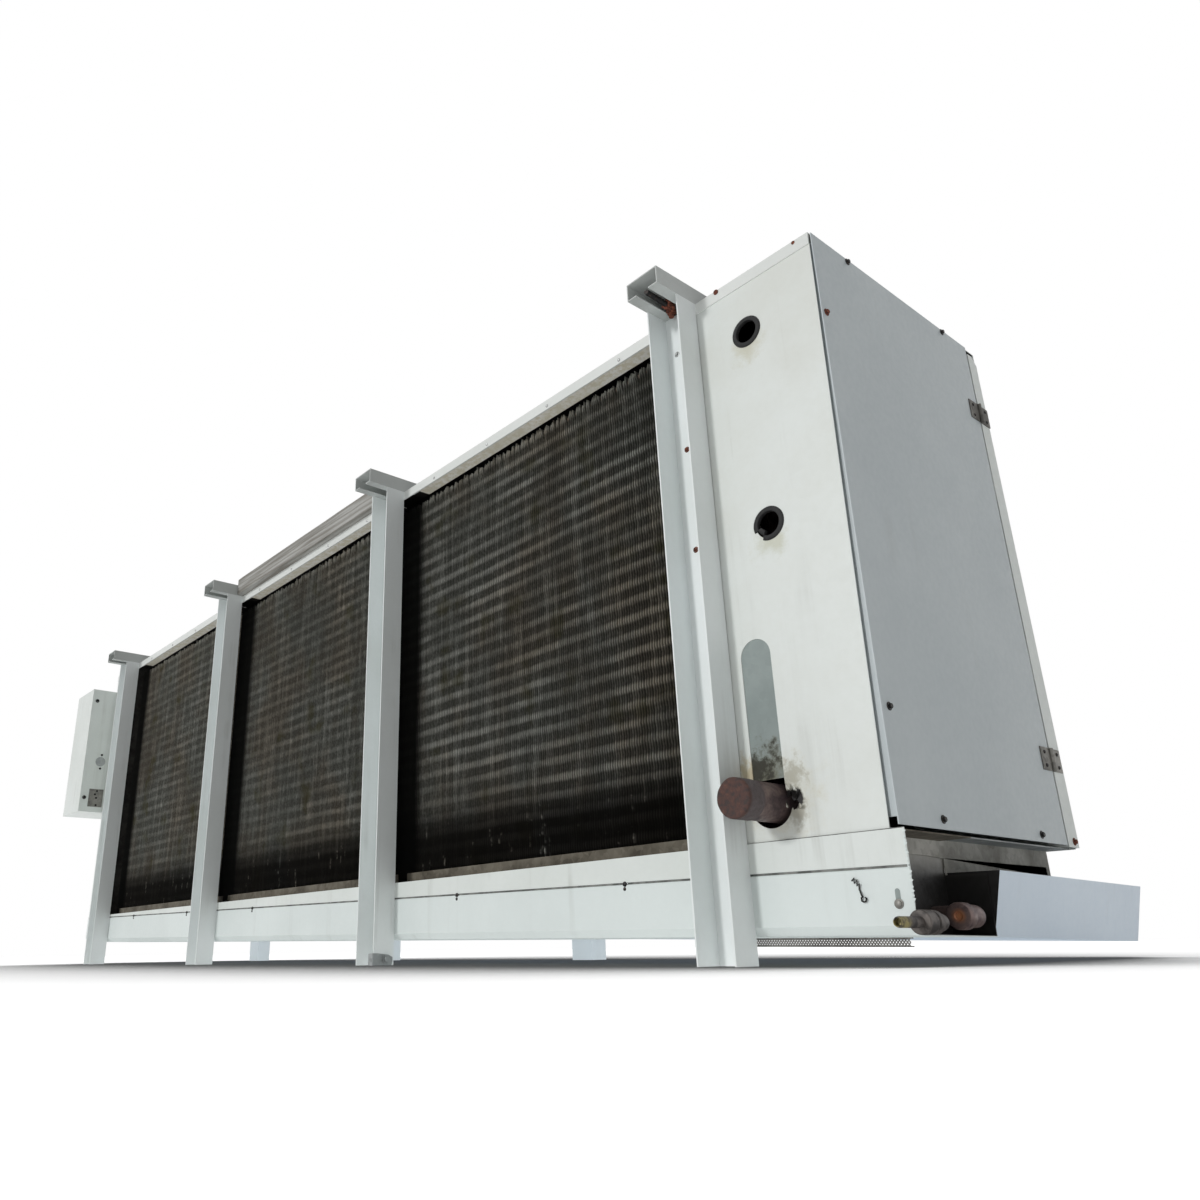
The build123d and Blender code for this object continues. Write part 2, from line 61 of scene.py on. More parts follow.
# %% Drawing coordinates
drawing_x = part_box("top_panel")[1].x
drawing_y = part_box("top_panel")[0].y
left_post, post_width, bay_pitch = -3695, 83, 1112
left_sheet, right_sheet = -3653.5, -317.5
casing_left = -3905
row_pitch = 38.1
pan_rim, pan_slope = 139, 0.0126


def place(x, y, z):
    """A point of the machine's drawing, in metres in the frame."""
    return Vector((drawing_x + x / 1000, drawing_y + y / 1000, z / 1000))


print("drawing's origin", [round(v, 3) for v in place(0, 0, 0)])

# %% [markdown]
# The camera stands low, close to the coil face, and looks up along the machine. Its lens, place and
# turn are written as the photograph has them: yaw, pitch and roll, and the point where its axis
# meets the picture, which is a little off the middle and becomes the lens shift.

# %% Camera
def in_scene(name, data):
    """A new object with that data, linked into the scene."""
    made = bpy.data.objects.new(name, data)
    bpy.context.scene.collection.objects.link(made)
    return made


picture = 1200
lens_pixels = 956.15
axis_x, axis_y = 505.4, 609.0
stand = place(771.5, -1394.3, 32.3)
yaw, pitch, roll = radians(-50.569), radians(19.607), radians(-0.888)

forward = Vector((sin(yaw) * cos(pitch), cos(yaw) * cos(pitch), sin(pitch)))
level_right = forward.cross(Vector((0, 0, 1))).normalized()
level_up = level_right.cross(forward)
right = level_right * cos(roll) + level_up * sin(roll)
up = level_up * cos(roll) - level_right * sin(roll)

camera_data = bpy.data.cameras.new("camera")
camera_data.sensor_width = 36
camera_data.lens = lens_pixels / picture * camera_data.sensor_width
camera_data.shift_x = (picture / 2 - axis_x) / picture
camera_data.shift_y = (axis_y - picture / 2) / picture
camera = in_scene("camera", camera_data)
turn = Matrix((right, up, -forward)).transposed().to_4x4()
camera.matrix_world = Matrix.Translation(stand) @ turn
bpy.context.scene.camera = camera
print("lens", round(camera_data.lens, 2), "mm")

# %% [markdown]
# ## Wiring shader nodes
#
# A material in Blender is a small network of nodes. Writing each node and link by hand hides the idea
# behind the bookkeeping, so a little workbench class places nodes and joins them. Each effect that
# several finishes share, such as uneven paint or rain streaks, is a node group, built once.

# %% A workbench for node trees
NUMBER, COLOUR, VECTOR = "NodeSocketFloat", "NodeSocketColor", "NodeSocketVector"


def shade(red, green, blue):
    """A colour given on a 0 to 255 screen scale, as the linear colour that shaders use."""
    linear = [c / 255 / 12.92 if c < 10.3 else ((c / 255 + 0.055) / 1.055) ** 2.4
              for c in (red, green, blue)]
    return (*linear, 1)


class Bench:
    """Places nodes in one tree and joins them; a value or a socket can feed any input."""

    def __init__(self, tree):
        self.tree = tree

    def feed(self, value, socket):
        if isinstance(value, bpy.types.NodeSocket):
            self.tree.links.new(value, socket)
        else:
            socket.default_value = value

    def node(self, kind, inputs=None, **settings):
        made = self.tree.nodes.new(kind)
        for name, value in settings.items():
            setattr(made, name, value)
        for name, value in (inputs or {}).items():
            self.feed(value, made.inputs[name])
        return made

    def maths(self, operation, first, second=0.5):
        return self.node("ShaderNodeMath", {0: first, 1: second}, operation=operation).outputs[0]

    def times(self, product, *factors):
        for factor in factors:
            product = self.maths("MULTIPLY", product, factor)
        return product

    def plus(self, total, *terms):
        for term in terms:
            total = self.maths("ADD", total, term)
        return total

    def ramp(self, value, low, high, out_low=0.0, out_high=1.0):
        """Turns the stretch from low to high into out_low to out_high, with soft ends."""
        made = self.node("ShaderNodeMapRange", {"Value": value, "From Min": low, "From Max": high,
                                                "To Min": out_low, "To Max": out_high},
                         interpolation_type="SMOOTHSTEP")
        return made.outputs["Result"]

    def mix(self, factor, first, second):
        return self.node("ShaderNodeMix", {0: factor, 6: first, 7: second}, data_type="RGBA").outputs[2]

    def coordinates(self, stretch=(1, 1, 1), shift=(0, 0, 0)):
        source = self.node("ShaderNodeTexCoord").outputs["Object"]
        return self.node("ShaderNodeMapping", {"Vector": source, "Scale": stretch,
                                               "Location": shift}).outputs["Vector"]

    def axes(self):
        """The x, y and z of a place on the piece, each on a socket of its own."""
        return self.node("ShaderNodeSeparateXYZ", {0: self.coordinates()}).outputs

    def facing(self):
        """The x, y and z of the direction in which the surface faces."""
        normal = self.node("ShaderNodeNewGeometry").outputs["True Normal"]
        return self.node("ShaderNodeSeparateXYZ", {0: normal}).outputs

    def background_rays(self):
        """One for rays that show floor and sky as a background, zero for those that gather light."""
        rays = self.node("ShaderNodeLightPath").outputs
        through = self.maths("MAXIMUM", rays["Is Glossy Ray"], rays["Is Transmission Ray"])
        return self.maths("MAXIMUM", rays["Is Camera Ray"], through)

    def noise(self, scale, detail=3.0, stretch=(1, 1, 1), shift=(0, 0, 0), roughness=0.55):
        made = self.node("ShaderNodeTexNoise", {"Vector": self.coordinates(stretch, shift),
                                                "Scale": scale, "Detail": detail,
                                                "Roughness": roughness})
        return made.outputs["Fac"]

    def group(self, tree, **inputs):
        made = self.node("ShaderNodeGroup", node_tree=tree)
        for name, value in inputs.items():
            self.feed(value, made.inputs[name])
        return made.outputs


def effect(name, inputs, outputs):
    """An empty node group, with its inputs and outputs ready on a workbench."""
    tree = bpy.data.node_groups.new(name, "ShaderNodeTree")
    for title, kind, value in inputs:
        tree.interface.new_socket(title, in_out="INPUT", socket_type=kind).default_value = value
    for title, kind in outputs:
        tree.interface.new_socket(title, in_out="OUTPUT", socket_type=kind)
    bench = Bench(tree)
    return bench, bench.node("NodeGroupInput").outputs, bench.node("NodeGroupOutput").inputs


# %% [markdown]
# ### Effects
#
# **Uneven paint.** Old paint isn't one colour: it has broad clouds, where it has weathered, and a fine
# mottle. Two noises of different scale pull the colour towards a second one.
#
# **Rain streaks.** Water carries dust straight down, so this noise is stretched along z.
#
# ** Patch.** Dirt gathers round a hole, and one such patch paints the shade inside a torn hole. The
# distance to a point, broken up by noise, gives a ragged spot.
#
# **Rust.** Several browns from dark to orange, in small grains.

# %% Uneven paint
bench, given, result = effect("uneven paint", [
    ("Color", COLOUR, (0.8, 0.8, 0.8, 1)), ("Tint", COLOUR, (0.7, 0.7, 0.7, 1)),
    ("Amount", NUMBER, 0.5), ("Scale", NUMBER, 4.0)], [("Color", COLOUR), ("Mottle", NUMBER)])
clouds = bench.node("ShaderNodeTexNoise", {"Vector": bench.coordinates(), "Scale": given["Scale"],
                                           "Detail": 4.0}).outputs["Fac"]
mottle = bench.noise(90.0, 4.0)
both = bench.plus(bench.ramp(clouds, 0.35, 0.7), bench.times(mottle, 0.6))
bench.feed(bench.mix(bench.times(both, given["Amount"]), given["Color"], given["Tint"]), result["Color"])
bench.feed(mottle, result["Mottle"])
uneven_paint = bench.tree

# %% Rain streaks
bench, given, result = effect("rain streaks", [("Scale", NUMBER, 30.0), ("Amount", NUMBER, 0.5)],
                              [("Mask", NUMBER)])
lines = bench.node("ShaderNodeTexNoise", {"Vector": bench.coordinates((1, 1, 0.035)),
                                          "Scale": given["Scale"], "Detail": 5.0,
                                          "Roughness": 0.6}).outputs["Fac"]
broken = bench.ramp(bench.noise(7.0, 2.0), 0.4, 0.65)
bench.feed(bench.times(bench.ramp(lines, 0.52, 0.75), broken, given["Amount"]), result["Mask"])
rain_streaks = bench.tree

# %% Patch of dirt and shade round a point
bench, given, result = effect("patch", [
    ("Centre", VECTOR, (0, 0, 0)), ("Reach", NUMBER, 0.1), ("Ragged", NUMBER, 0.5)], [("Mask", NUMBER)])
away = bench.node("ShaderNodeVectorMath", {0: bench.coordinates(), 1: given["Centre"]},
                  operation="SUBTRACT").outputs[0]
distance = bench.node("ShaderNodeVectorMath", {0: away}, operation="LENGTH").outputs["Value"]
share = bench.maths("DIVIDE", distance, given["Reach"])
uneven = bench.maths("SUBTRACT", bench.noise(28.0, 6.0, roughness=0.7), 0.5)
edge = bench.plus(share, bench.times(uneven, given["Ragged"], 4.0))
bench.feed(bench.ramp(edge, 0.15, 1.0, 1.0, 0.0), result["Mask"])
dirt_and_shade_patch = bench.tree

# %% Rust
bench, given, result = effect("rust", [("Scale", NUMBER, 220.0)], [("Color", COLOUR), ("Grain", NUMBER)])
grain = bench.node("ShaderNodeTexNoise", {"Vector": bench.coordinates(), "Scale": given["Scale"],
                                          "Detail": 5.0, "Roughness": 0.65}).outputs["Fac"]
browns = bench.mix(bench.ramp(grain, 0.35, 0.55), shade(44, 24, 20), shade(112, 58, 40))
bench.feed(bench.mix(bench.ramp(grain, 0.55, 0.75), browns, shade(168, 104, 74)), result["Color"])
bench.feed(grain, result["Grain"])
rust_grains = bench.tree
print("effects:", [tree.name for tree in (uneven_paint, rain_streaks, dirt_and_shade_patch, rust_grains)])

# %% [markdown]
# ### Finishes
#
# A finish starts from one helper that gives a material with its Principled shader and a workbench.
# Nearly every finish here ends in a colour and a fine relief, a height that becomes the shader's normal.
# Many small things need no more than two tones of one noise, and some sheets get dirty spots on top.

# %% Finish helpers
def new_finish(name, roughness=0.5, metallic=0.0):
    """A material with its workbench and its Principled shader."""
    material = bpy.data.materials.new(name)
    material.use_nodes = True
    shader = material.node_tree.nodes["Principled BSDF"]
    shader.inputs["Roughness"].default_value = roughness
    shader.inputs["Metallic"].default_value = metallic
    return material, Bench(material.node_tree), shader


def surface(bench, shader, colour, height, depth, strength=1.0):
    """Feeds the shader's colour, and its normal from a height that is depth metres deep."""
    bench.feed(colour, shader.inputs["Base Color"])
    bump = bench.node("ShaderNodeBump", {"Height": height, "Distance": depth, "Strength": strength})
    bench.feed(bump.outputs["Normal"], shader.inputs["Normal"])


def two_tone(name, scale, detail, low, high, first, second, roughness, metallic=0.0, depth=0.0005,
             strength=1.0):
    """A finish that goes from the first colour to the second as a noise rises from low to high."""
    material, bench, shader = new_finish(name, roughness, metallic)
    wear = bench.noise(scale, detail)
    tones = bench.mix(bench.ramp(wear, low, high), first, second)
    surface(bench, shader, tones, wear, depth, strength)
    return material


def spotted(bench, colour, spots):
    """Lays spots of (centre, reach, ragged, colour, strength) over a colour."""
    for centre, reach, ragged, spot_colour, strength in spots:
        mask = bench.group(dirt_and_shade_patch, Centre=centre, Reach=reach, Ragged=ragged)["Mask"]
        colour = bench.mix(bench.times(mask, strength), colour, spot_colour)
    return colour


def reopened(material):
    """The workbench and shader of a finish, with the socket that colours it, to add more dirt."""
    shader = material.node_tree.nodes["Principled BSDF"]
    return Bench(material.node_tree), shader, shader.inputs["Base Color"].links[0].from_socket


def paint(name, colour, tint, amount=0.5, roughness=0.42, streaks=0.25,
          streak_colour=shade(120, 118, 104), spots=(), wave=0.0):
    """Worn paint: clouds, rain streaks, spots, and dents where wave is above zero."""
    material, bench, shader = new_finish(name, roughness)
    coat = bench.group(uneven_paint, Color=colour, Tint=tint, Amount=amount)
    streak = bench.group(rain_streaks, Amount=streaks)["Mask"]
    worn = spotted(bench, bench.mix(streak, coat["Color"], streak_colour), spots)
    bench.feed(bench.ramp(coat["Mottle"], 0.3, 0.7, roughness - 0.06, roughness + 0.1),
               shader.inputs["Roughness"])
    height = coat["Mottle"]
    if wave:
        dents = bench.noise(5.5, 2.0, stretch=(1, 1, 0.6))
        height = bench.plus(bench.times(dents, wave), height)
    surface(bench, shader, worn, height, 0.0004, 0.6)
    return material

# %% [markdown]
# ** Paints.** The casing's paint is a warm off-white and the posts' is bluish. The front panel of the
# service compartment carries most of the dirt: a yellow-brown stain round the pipe hole and its slot.
# A near-black spot beside the pipe hole is painted shade, for the dark inside seen through its torn corner.

# %% Paints
off_white, off_white_tint = shade(226, 231, 228), shade(211, 217, 212)

casing_paint = paint("casing_paint", off_white, off_white_tint)
# painted shade: a darker copy of the posts' paint, for the shade on the hangers' sides that face away from
# the sun
hanger_paint_painted_shade = paint("hanger_paint_painted_shade", shade(194, 198, 196), shade(181, 185, 182), streaks=0.2)
pan_paint = paint("pan_paint", shade(224, 232, 230), shade(213, 221, 219), streaks=0.12)
tray_paint = paint("tray_paint", shade(216, 228, 238), shade(206, 219, 231), streaks=0.1)
door_paint = paint("door_paint", shade(190, 198, 200), shade(178, 187, 190), roughness=0.4,
                   streaks=0.08, wave=6.0)
post_paint = paint("post_paint", shade(236, 241, 241), shade(224, 229, 227), streaks=0.25,
                   streak_colour=shade(150, 152, 142))
front_paint = paint("front_paint", off_white, shade(210, 212, 204), amount=0.45, streaks=0.18, spots=(
    (place(-196, 0, 270), 0.10, 0.5, shade(206, 202, 180), 0.5),
    (place(-180, 0, 300), 0.040, 1.1, shade(140, 134, 112), 0.5),
    (place(-172, 0, 240), 0.03, 0.9, shade(120, 112, 92), 0.5),
    (place(-266, 0, 300), 0.06, 0.7, shade(186, 168, 122), 0.7),
    # painted shade: the dark inside seen through the torn corner of the pipe hole
    (place(-172, 0, 265), 0.020, 0.26, shade(9, 8, 7), 4.0),
    (place(-160, 0, 1150), 0.05, 0.5, shade(190, 186, 160), 0.6),
    (place(-160, 0, 730), 0.05, 0.5, shade(186, 186, 160), 0.6)))

# %% [markdown]
# ** Painted shade in the pans.** Inside its open end, the coil pan is painted darker towards its floor,
# nearly black there, as painted shade of the deep recess, while the same sheet is plain outside. So the
# mask goes by place: right of the last post, behind the front wall, and above the floor, which falls
# steeply at first and then gently. The fan pan's wall behind the coil pan is painted nearly black as
# painted shade, and that one is told apart by the direction in which it faces.

# %% Painted shade in the pans
bench, shader, clean = reopened(pan_paint)
where = bench.axes()
# painted shade: from grey high up to nearly black at the pan's floor
painted_pan_shade = bench.mix(bench.ramp(where["Z"], 0.176, 0.132), shade(142, 141, 134), shade(14, 13, 12))
behind = bench.maths("SUBTRACT", where["Y"], drawing_y)
level = bench.plus(where["Z"], bench.times(bench.maths("SUBTRACT", where["X"], drawing_x), pan_slope))
inside = bench.times(bench.ramp(behind, 0.0026, 0.0034),
                     bench.ramp(where["X"], drawing_x - 0.30, drawing_x - 0.28))
for fall, floor_level in ((1.0, 0.0584), (0.0123, 0.0441)):
    above = bench.plus(level, bench.times(behind, fall))
    inside = bench.times(inside, bench.ramp(above, floor_level, floor_level + 0.0004))
bench.feed(bench.mix(inside, clean, painted_pan_shade), shader.inputs["Base Color"])

bench, shader, clean = reopened(tray_paint)
turned_front = bench.ramp(bench.facing()["Y"], -0.6, -0.9)
behind_pan = bench.ramp(bench.axes()["Y"], drawing_y + 0.30, drawing_y + 0.29)
# painted shade: the front-facing wall of the fan pan behind the coil pan goes nearly black
bench.feed(bench.mix(bench.times(turned_front, behind_pan), clean, shade(24, 23, 22)),
           shader.inputs["Base Color"])

# %% [markdown]
# ** Top panel.** Its lip is clean and bright. The underside of the coil's recess is speckled beige, where
# years of condensate have dried, on a near-white that is painted light from the floor; over the fins and
# beside the posts it is painted black as painted shade. These colours lie behind the lip on faces that
# look down, so they depend on place and direction.

# %% Top panel
def past_post(bench, where):
    """How far a place lies to the right of the nearest post's left edge, in metres."""
    from_first = bench.plus(where["X"], -left_post / 1000 - drawing_x)
    return bench.maths("MODULO", from_first, bay_pitch / 1000)


top_paint, bench, shader = new_finish("top_paint", 0.4)
coat = bench.group(uneven_paint, Color=shade(228, 231, 228), Tint=shade(212, 216, 212), Amount=0.4)
where = bench.axes()
behind_lip = bench.ramp(where["Y"], drawing_y + 0.002, drawing_y + 0.006)
turned_down = bench.ramp(bench.facing()["Z"], 0.0, -0.8)
painted_shade_over_fins = bench.ramp(where["Y"], drawing_y + 0.0375, drawing_y + 0.0395)
painted_shade_beside_post = bench.ramp(past_post(bench, where), 0.160, 0.158)
specks = bench.ramp(bench.noise(60.0, 6.0, roughness=0.75), 0.38, 0.6)
# speckled dirt on a near-white that is painted light from the floor
dirt_with_painted_light_and_shade = bench.mix(specks, shade(254, 253, 246), shade(228, 222, 200))
dirt_with_painted_light_and_shade = bench.mix(bench.ramp(bench.noise(3.0, 4.0), 0.45, 0.6, 0.0, 0.5), dirt_with_painted_light_and_shade, shade(224, 220, 202))
# painted shade: black beside each post, for the dark opening there
dirt_with_painted_light_and_shade = bench.mix(painted_shade_beside_post, dirt_with_painted_light_and_shade, shade(18, 17, 15))
# painted shade: black over the fins, deep in the recess
dirt_with_painted_light_and_shade = bench.mix(painted_shade_over_fins, dirt_with_painted_light_and_shade, shade(12, 11, 10))
surface(bench, shader, bench.mix(bench.times(behind_lip, turned_down), coat["Color"], dirt_with_painted_light_and_shade),
        coat["Mottle"], 0.0004, 0.6)

# %% [markdown]
# ** Bare sheet.** Zinc coating shows as a faint patchwork, so a Voronoi pattern varies the tone. The
# cover of the slot is stained at its foot. The sheets at the ends of the coil are painted dark as painted
# shade, for the shadow beside the posts, and the sill below the coil is dark.

# %% Bare sheet
def bare_sheet(name, light, dark, roughness=0.5, metallic=0.55, spots=()):
    """Zinc-coated sheet in two tones, with dirty spots."""
    material, bench, shader = new_finish(name, roughness, metallic)
    flakes = bench.node("ShaderNodeTexVoronoi", {"Vector": bench.coordinates(), "Scale": 90.0})
    flake_tone = bench.node("ShaderNodeRGBToBW", {0: flakes.outputs["Color"]}).outputs[0]
    tone = bench.plus(bench.times(flake_tone, 0.35), bench.ramp(bench.noise(9.0, 5.0), 0.3, 0.7, 0, 0.65))
    bench.feed(bench.ramp(tone, 0, 1, roughness - 0.1, roughness + 0.15), shader.inputs["Roughness"])
    surface(bench, shader, spotted(bench, bench.mix(tone, light, dark), spots), tone, 0.0002, 0.5)
    return material


galvanised = bare_sheet("galvanised", shade(190, 194, 194), shade(150, 154, 154))
cover_sheet = bare_sheet("cover_sheet", shade(149, 159, 157), shade(138, 148, 146), 0.75, 0.0, spots=(
    (place(-222, 0, 300), 0.085, 0.6, shade(110, 106, 80), 0.75),
    (place(-232, 0, 322), 0.05, 1.3, shade(40, 38, 30), 0.9)))
sump_sheet = bare_sheet("sump_sheet", shade(196, 195, 188), shade(128, 126, 119), 0.7, 0.0)
# painted shade: the end sheets stand in the shadow beside the posts
end_sheet_painted_shade = bare_sheet("end_sheet_painted_shade", shade(64, 62, 58), shade(30, 28, 26), 0.85, 0.0)
sill_sheet = bare_sheet("sill_sheet", shade(124, 118, 104), shade(64, 59, 50), 0.8, 0.0)
hinge_zinc = bare_sheet("hinge_zinc", shade(150, 148, 142), shade(64, 62, 58), 0.55, 0.4)
bright_zinc = bare_sheet("bright_zinc", shade(196, 198, 198), shade(150, 152, 150), 0.35, 0.8)

# %% [markdown]
# **Rusty and dark hardware, copper and rubber.** Copper left outdoors turns a dull brownish purple, and
# the cap over the suction stub is rough with red-brown oxide.

# %% Small metals and rubber
rusty, bench, shader = new_finish("rusty", 0.85)
crust = bench.group(rust_grains, Scale=260.0)
surface(bench, shader, crust["Color"], crust["Grain"], 0.0008)

cap_oxide, bench, shader = new_finish("cap_oxide", 0.8)
crust = bench.group(rust_grains, Scale=120.0)
face = bench.ramp(bench.axes()["Y"], drawing_y - 0.092, drawing_y - 0.100)
browned = bench.mix(0.74, crust["Color"], shade(62, 53, 51))
sooty = bench.mix(crust["Grain"], shade(56, 49, 50), shade(104, 94, 94))
surface(bench, shader, bench.mix(face, sooty, browned), crust["Grain"], 0.003)

dull_copper, bench, shader = new_finish("dull_copper", 0.5, 0.45)
tarnish = bench.noise(26.0, 6.0, roughness=0.65)
bare = bench.group(dirt_and_shade_patch, Centre=place(15, 121, 71), Reach=0.014, Ragged=0.15)["Mask"]
aged = bench.mix(bench.ramp(tarnish, 0.38, 0.62), shade(120, 102, 98), shade(72, 60, 62))
bench.feed(bench.ramp(tarnish, 0.3, 0.7, 0.35, 0.65), shader.inputs["Roughness"])
surface(bench, shader, bench.mix(bare, aged, shade(190, 128, 88)), tarnish, 0.0004, 0.5)

dull_brass, bench, shader = new_finish("dull_brass", 0.5, 0.35)
tarnish = bench.noise(60.0, 5.0)
tip = bench.ramp(bench.axes()["Y"], drawing_y - 0.056, drawing_y - 0.072)
metal = bench.mix(tip, shade(92, 86, 82), shade(150, 140, 92))
surface(bench, shader, bench.mix(bench.ramp(tarnish, 0.4, 0.62), metal, shade(50, 46, 44)), tarnish,
        0.0004, 0.5)

black_steel = two_tone("black_steel", 180.0, 4.0, 0.5, 0.72, shade(21, 21, 22), shade(74, 60, 50), 0.5, 0.4,
                       depth=0.0006)
rubber = two_tone("rubber", 70.0, 4.0, 0.5, 0.8, shade(11, 12, 13), shade(40, 40, 39), 0.75)

# %% [markdown]
# ** Coil fins.** Weathered aluminium in greys, browns and olive. The rippled fins catch the light once a
# tube row, and that is painted light: a cosine of the height gives one pale band a row, and the bands
# are strongest in the bay on the right. A noise that is stretched along z makes single fins paler, the
# top ends are dusty, and the lowest rows are nearly black, with a few pale runs in it. Just right of
# each post the fins are painted black as the post's painted shadow, and the block behind their front
# edges is painted dark as painted shade.

# %% Coil fins
fin_metal, bench, shader = new_finish("fin_metal", 0.6, 0.1)
where = bench.axes()
sway = bench.times(bench.noise(5.0, 3.0), 0.012)
turns = bench.times(bench.plus(where["Z"], sway), 2 * pi / (row_pitch / 1000))
# painted highlight: one pale band a tube row, where the rippled fins face the light
row_painted_highlight = bench.ramp(bench.maths("COSINE", bench.maths("SUBTRACT", turns, 2.6)), -0.5, 1.0)
every_other = bench.ramp(bench.maths("COSINE", bench.times(turns, 0.5)), -1, 1, 0.65, 1.0)
faint = bench.ramp(bench.noise(5.0, 4.0, shift=(7, 0, 5)), 0.35, 0.65, 0.45, 1.1)
highlight_strength = bench.ramp(where["X"], drawing_x - 2.4, drawing_x - 0.4, 0.35, 0.98)
painted_row_highlights = bench.times(row_painted_highlight, every_other, faint, highlight_strength)

lone_fins = bench.noise(70.0, 3.0, stretch=(1, 0.1, 0.05), roughness=0.8)
grain = bench.noise(220.0, 3.0, stretch=(0.8, 1, 0.6))
tone = bench.plus(painted_row_highlights, bench.plus(bench.ramp(lone_fins, 0.42, 0.72, 0, 0.46),
                                    bench.ramp(grain, 0.35, 0.7, -0.12, 0.18)))
patches = bench.ramp(bench.noise(3.0, 5.0, stretch=(1, 1, 0.8), roughness=0.6), 0.4, 0.6)
dim = bench.mix(patches, shade(143, 144, 137), shade(143, 138, 128))
pale = bench.mix(patches, shade(246, 247, 241), shade(243, 237, 224))
olive = bench.ramp(bench.noise(9.0, 4.0, shift=(3, 1, 2)), 0.56, 0.7, 0, 0.5)
flank = bench.mix(olive, bench.mix(tone, dim, pale), shade(134, 130, 92))

# %% Dirt and painted shade on the fins
dusty_top = bench.times(bench.ramp(where["Z"], 1.25, 1.272),
                        bench.ramp(bench.noise(110.0, 3.0, stretch=(1, 0, 0.2)), 0.45, 0.6, 0, 0.8))
flank = bench.mix(dusty_top, flank, shade(236, 236, 230))
runs = bench.ramp(bench.noise(55.0, 4.0, stretch=(1, 0.1, 0.16), roughness=0.7), 0.58, 0.7)
# the lowest rows go nearly black, with a few pale runs
darker_low_rows = bench.times(bench.ramp(where["Z"], 0.40, 0.29), bench.ramp(runs, 0, 1, 1.0, 0.05), 0.9)
flank = bench.mix(darker_low_rows, flank, shade(24, 22, 20))
# painted shade: the fins go darker behind their front edges, deep in the block
painted_deep_shade = bench.ramp(where["Y"], drawing_y + 0.0385, drawing_y + 0.0445, 0.0, 0.75)
flank = bench.mix(painted_deep_shade, flank, shade(40, 38, 34))
# painted shadow: the fins just right of each post go black
flank = bench.mix(bench.ramp(past_post(bench, where), 0.104, 0.150, 0.97, 0.0), flank, shade(8, 8, 7))
bench.feed(flank, shader.inputs["Base Color"])

tube_metal, bench, shader = new_finish("tube_metal", 0.5, 0.5)
dull = bench.noise(40.0, 4.0)
surface(bench, shader, bench.mix(dull, shade(122, 110, 96), shade(70, 58, 50)), dull, 0.0003)

# %% [markdown]
# **Wood.** The board is grey, weathered softwood. Rings stretched along the board make its grain, and a
# fine noise along it makes the furry surface.

# %% Weathered board
board_wood, bench, shader = new_finish("board_wood", 0.8)
grain = bench.node("ShaderNodeTexWave", {"Vector": bench.coordinates((0.5, 6, 6)), "Scale": 3.0,
                                         "Distortion": 7.0, "Detail": 3.0, "Detail Scale": 1.4},
                   bands_direction="Z").outputs["Fac"]
fibres = bench.noise(60.0, 5.0, stretch=(0.06, 1, 1))
light = bench.mix(bench.ramp(fibres, 0.35, 0.7), shade(176, 176, 172), shade(132, 130, 124))
surface(bench, shader, bench.mix(bench.ramp(grain, 0.5, 0.95, 0, 0.5), light, shade(112, 106, 96)),
        bench.plus(grain, fibres), 0.0015)

# %% [markdown]
# **Fans, motors and guards.** The blades are dull metal, the motors dark enamel, and the guards have a
# black coating with some rust in it.

# %% Fans and motors
blade_metal = two_tone("blade_metal", 40.0, 4.0, 0.3, 0.75, shade(188, 190, 190), shade(140, 141, 140), 0.4,
                       0.8, depth=0.0004, strength=0.5)
motor_enamel = two_tone("motor_enamel", 24.0, 6.0, 0.4, 0.75, shade(46, 49, 52), shade(96, 94, 88), 0.45)
guard_coat = two_tone("guard_coat", 50.0, 4.0, 0.55, 0.75, shade(36, 37, 38), shade(92, 80, 70), 0.4,
                      depth=0.0003)

# %% [markdown]
# The CAD pieces whose shape is already right now get their finish.

# %% Finish the CAD pieces
finishes = {
    post_paint: ["coil_post_1", "coil_post_2", "coil_post_3", "coil_post_4", "fan_posts"],
    hanger_paint_painted_shade: ["hangers"],
    casing_paint: ["pan_rail", "service_rear_panel", "left_end_housing", "control_box",
                   "control_box_cover", "fan_panel_1", "fan_panel_2", "fan_panel_3"],
    top_paint: ["top_panel"],
    front_paint: ["service_front_panel"],
    door_paint: ["end_door"],
    pan_paint: ["coil_pan"],
    tray_paint: ["fan_pan"],
    galvanised: ["service_floor", "motor_mounts", "pan_mesh_strip"],
    end_sheet_painted_shade: ["left_tube_sheet", "right_tube_sheet"],
    sill_sheet: ["coil_sill", "coil_shelf"],
    cover_sheet: ["slot_cover"],
    sump_sheet: ["sump_plate"],
    hinge_zinc: ["door_hinge_leaves", "frame_hinge_leaves"],
    dull_copper: ["suction_header", "hot_gas_stub", "liquid_line_stub"],
    cap_oxide: ["suction_cap"],
    rubber: ["grommets"],
    fin_metal: ["coil_fins"],
    board_wood: ["spacer_board"],
    blade_metal: ["fan_1", "fan_2", "fan_3"],
    guard_coat: ["fan_guard_1", "fan_guard_2", "fan_guard_3"],
    motor_enamel: ["fan_motors"],
}
for finish, names in finishes.items():
    for name in names:
        nodes[name].data.materials.clear()
        nodes[name].data.materials.append(finish)
print("without a finish:", sorted(set(nodes) - {name for names in finishes.values() for name in names}))

# %% [markdown]
# ## Building pieces
#
# Each new piece is a bmesh that ends in `finish_piece`, which makes the object, gives it its finish and
# says what it rides on. Small hardware comes from moulds: a profile turned once round an axis, then
# stamped wherever the machine has one. Three directions in which a stamp can face have names.

# %% Piece helpers
front, back, outward = (0, -1, 0), (0, 1, 0), (1, 0, 0)


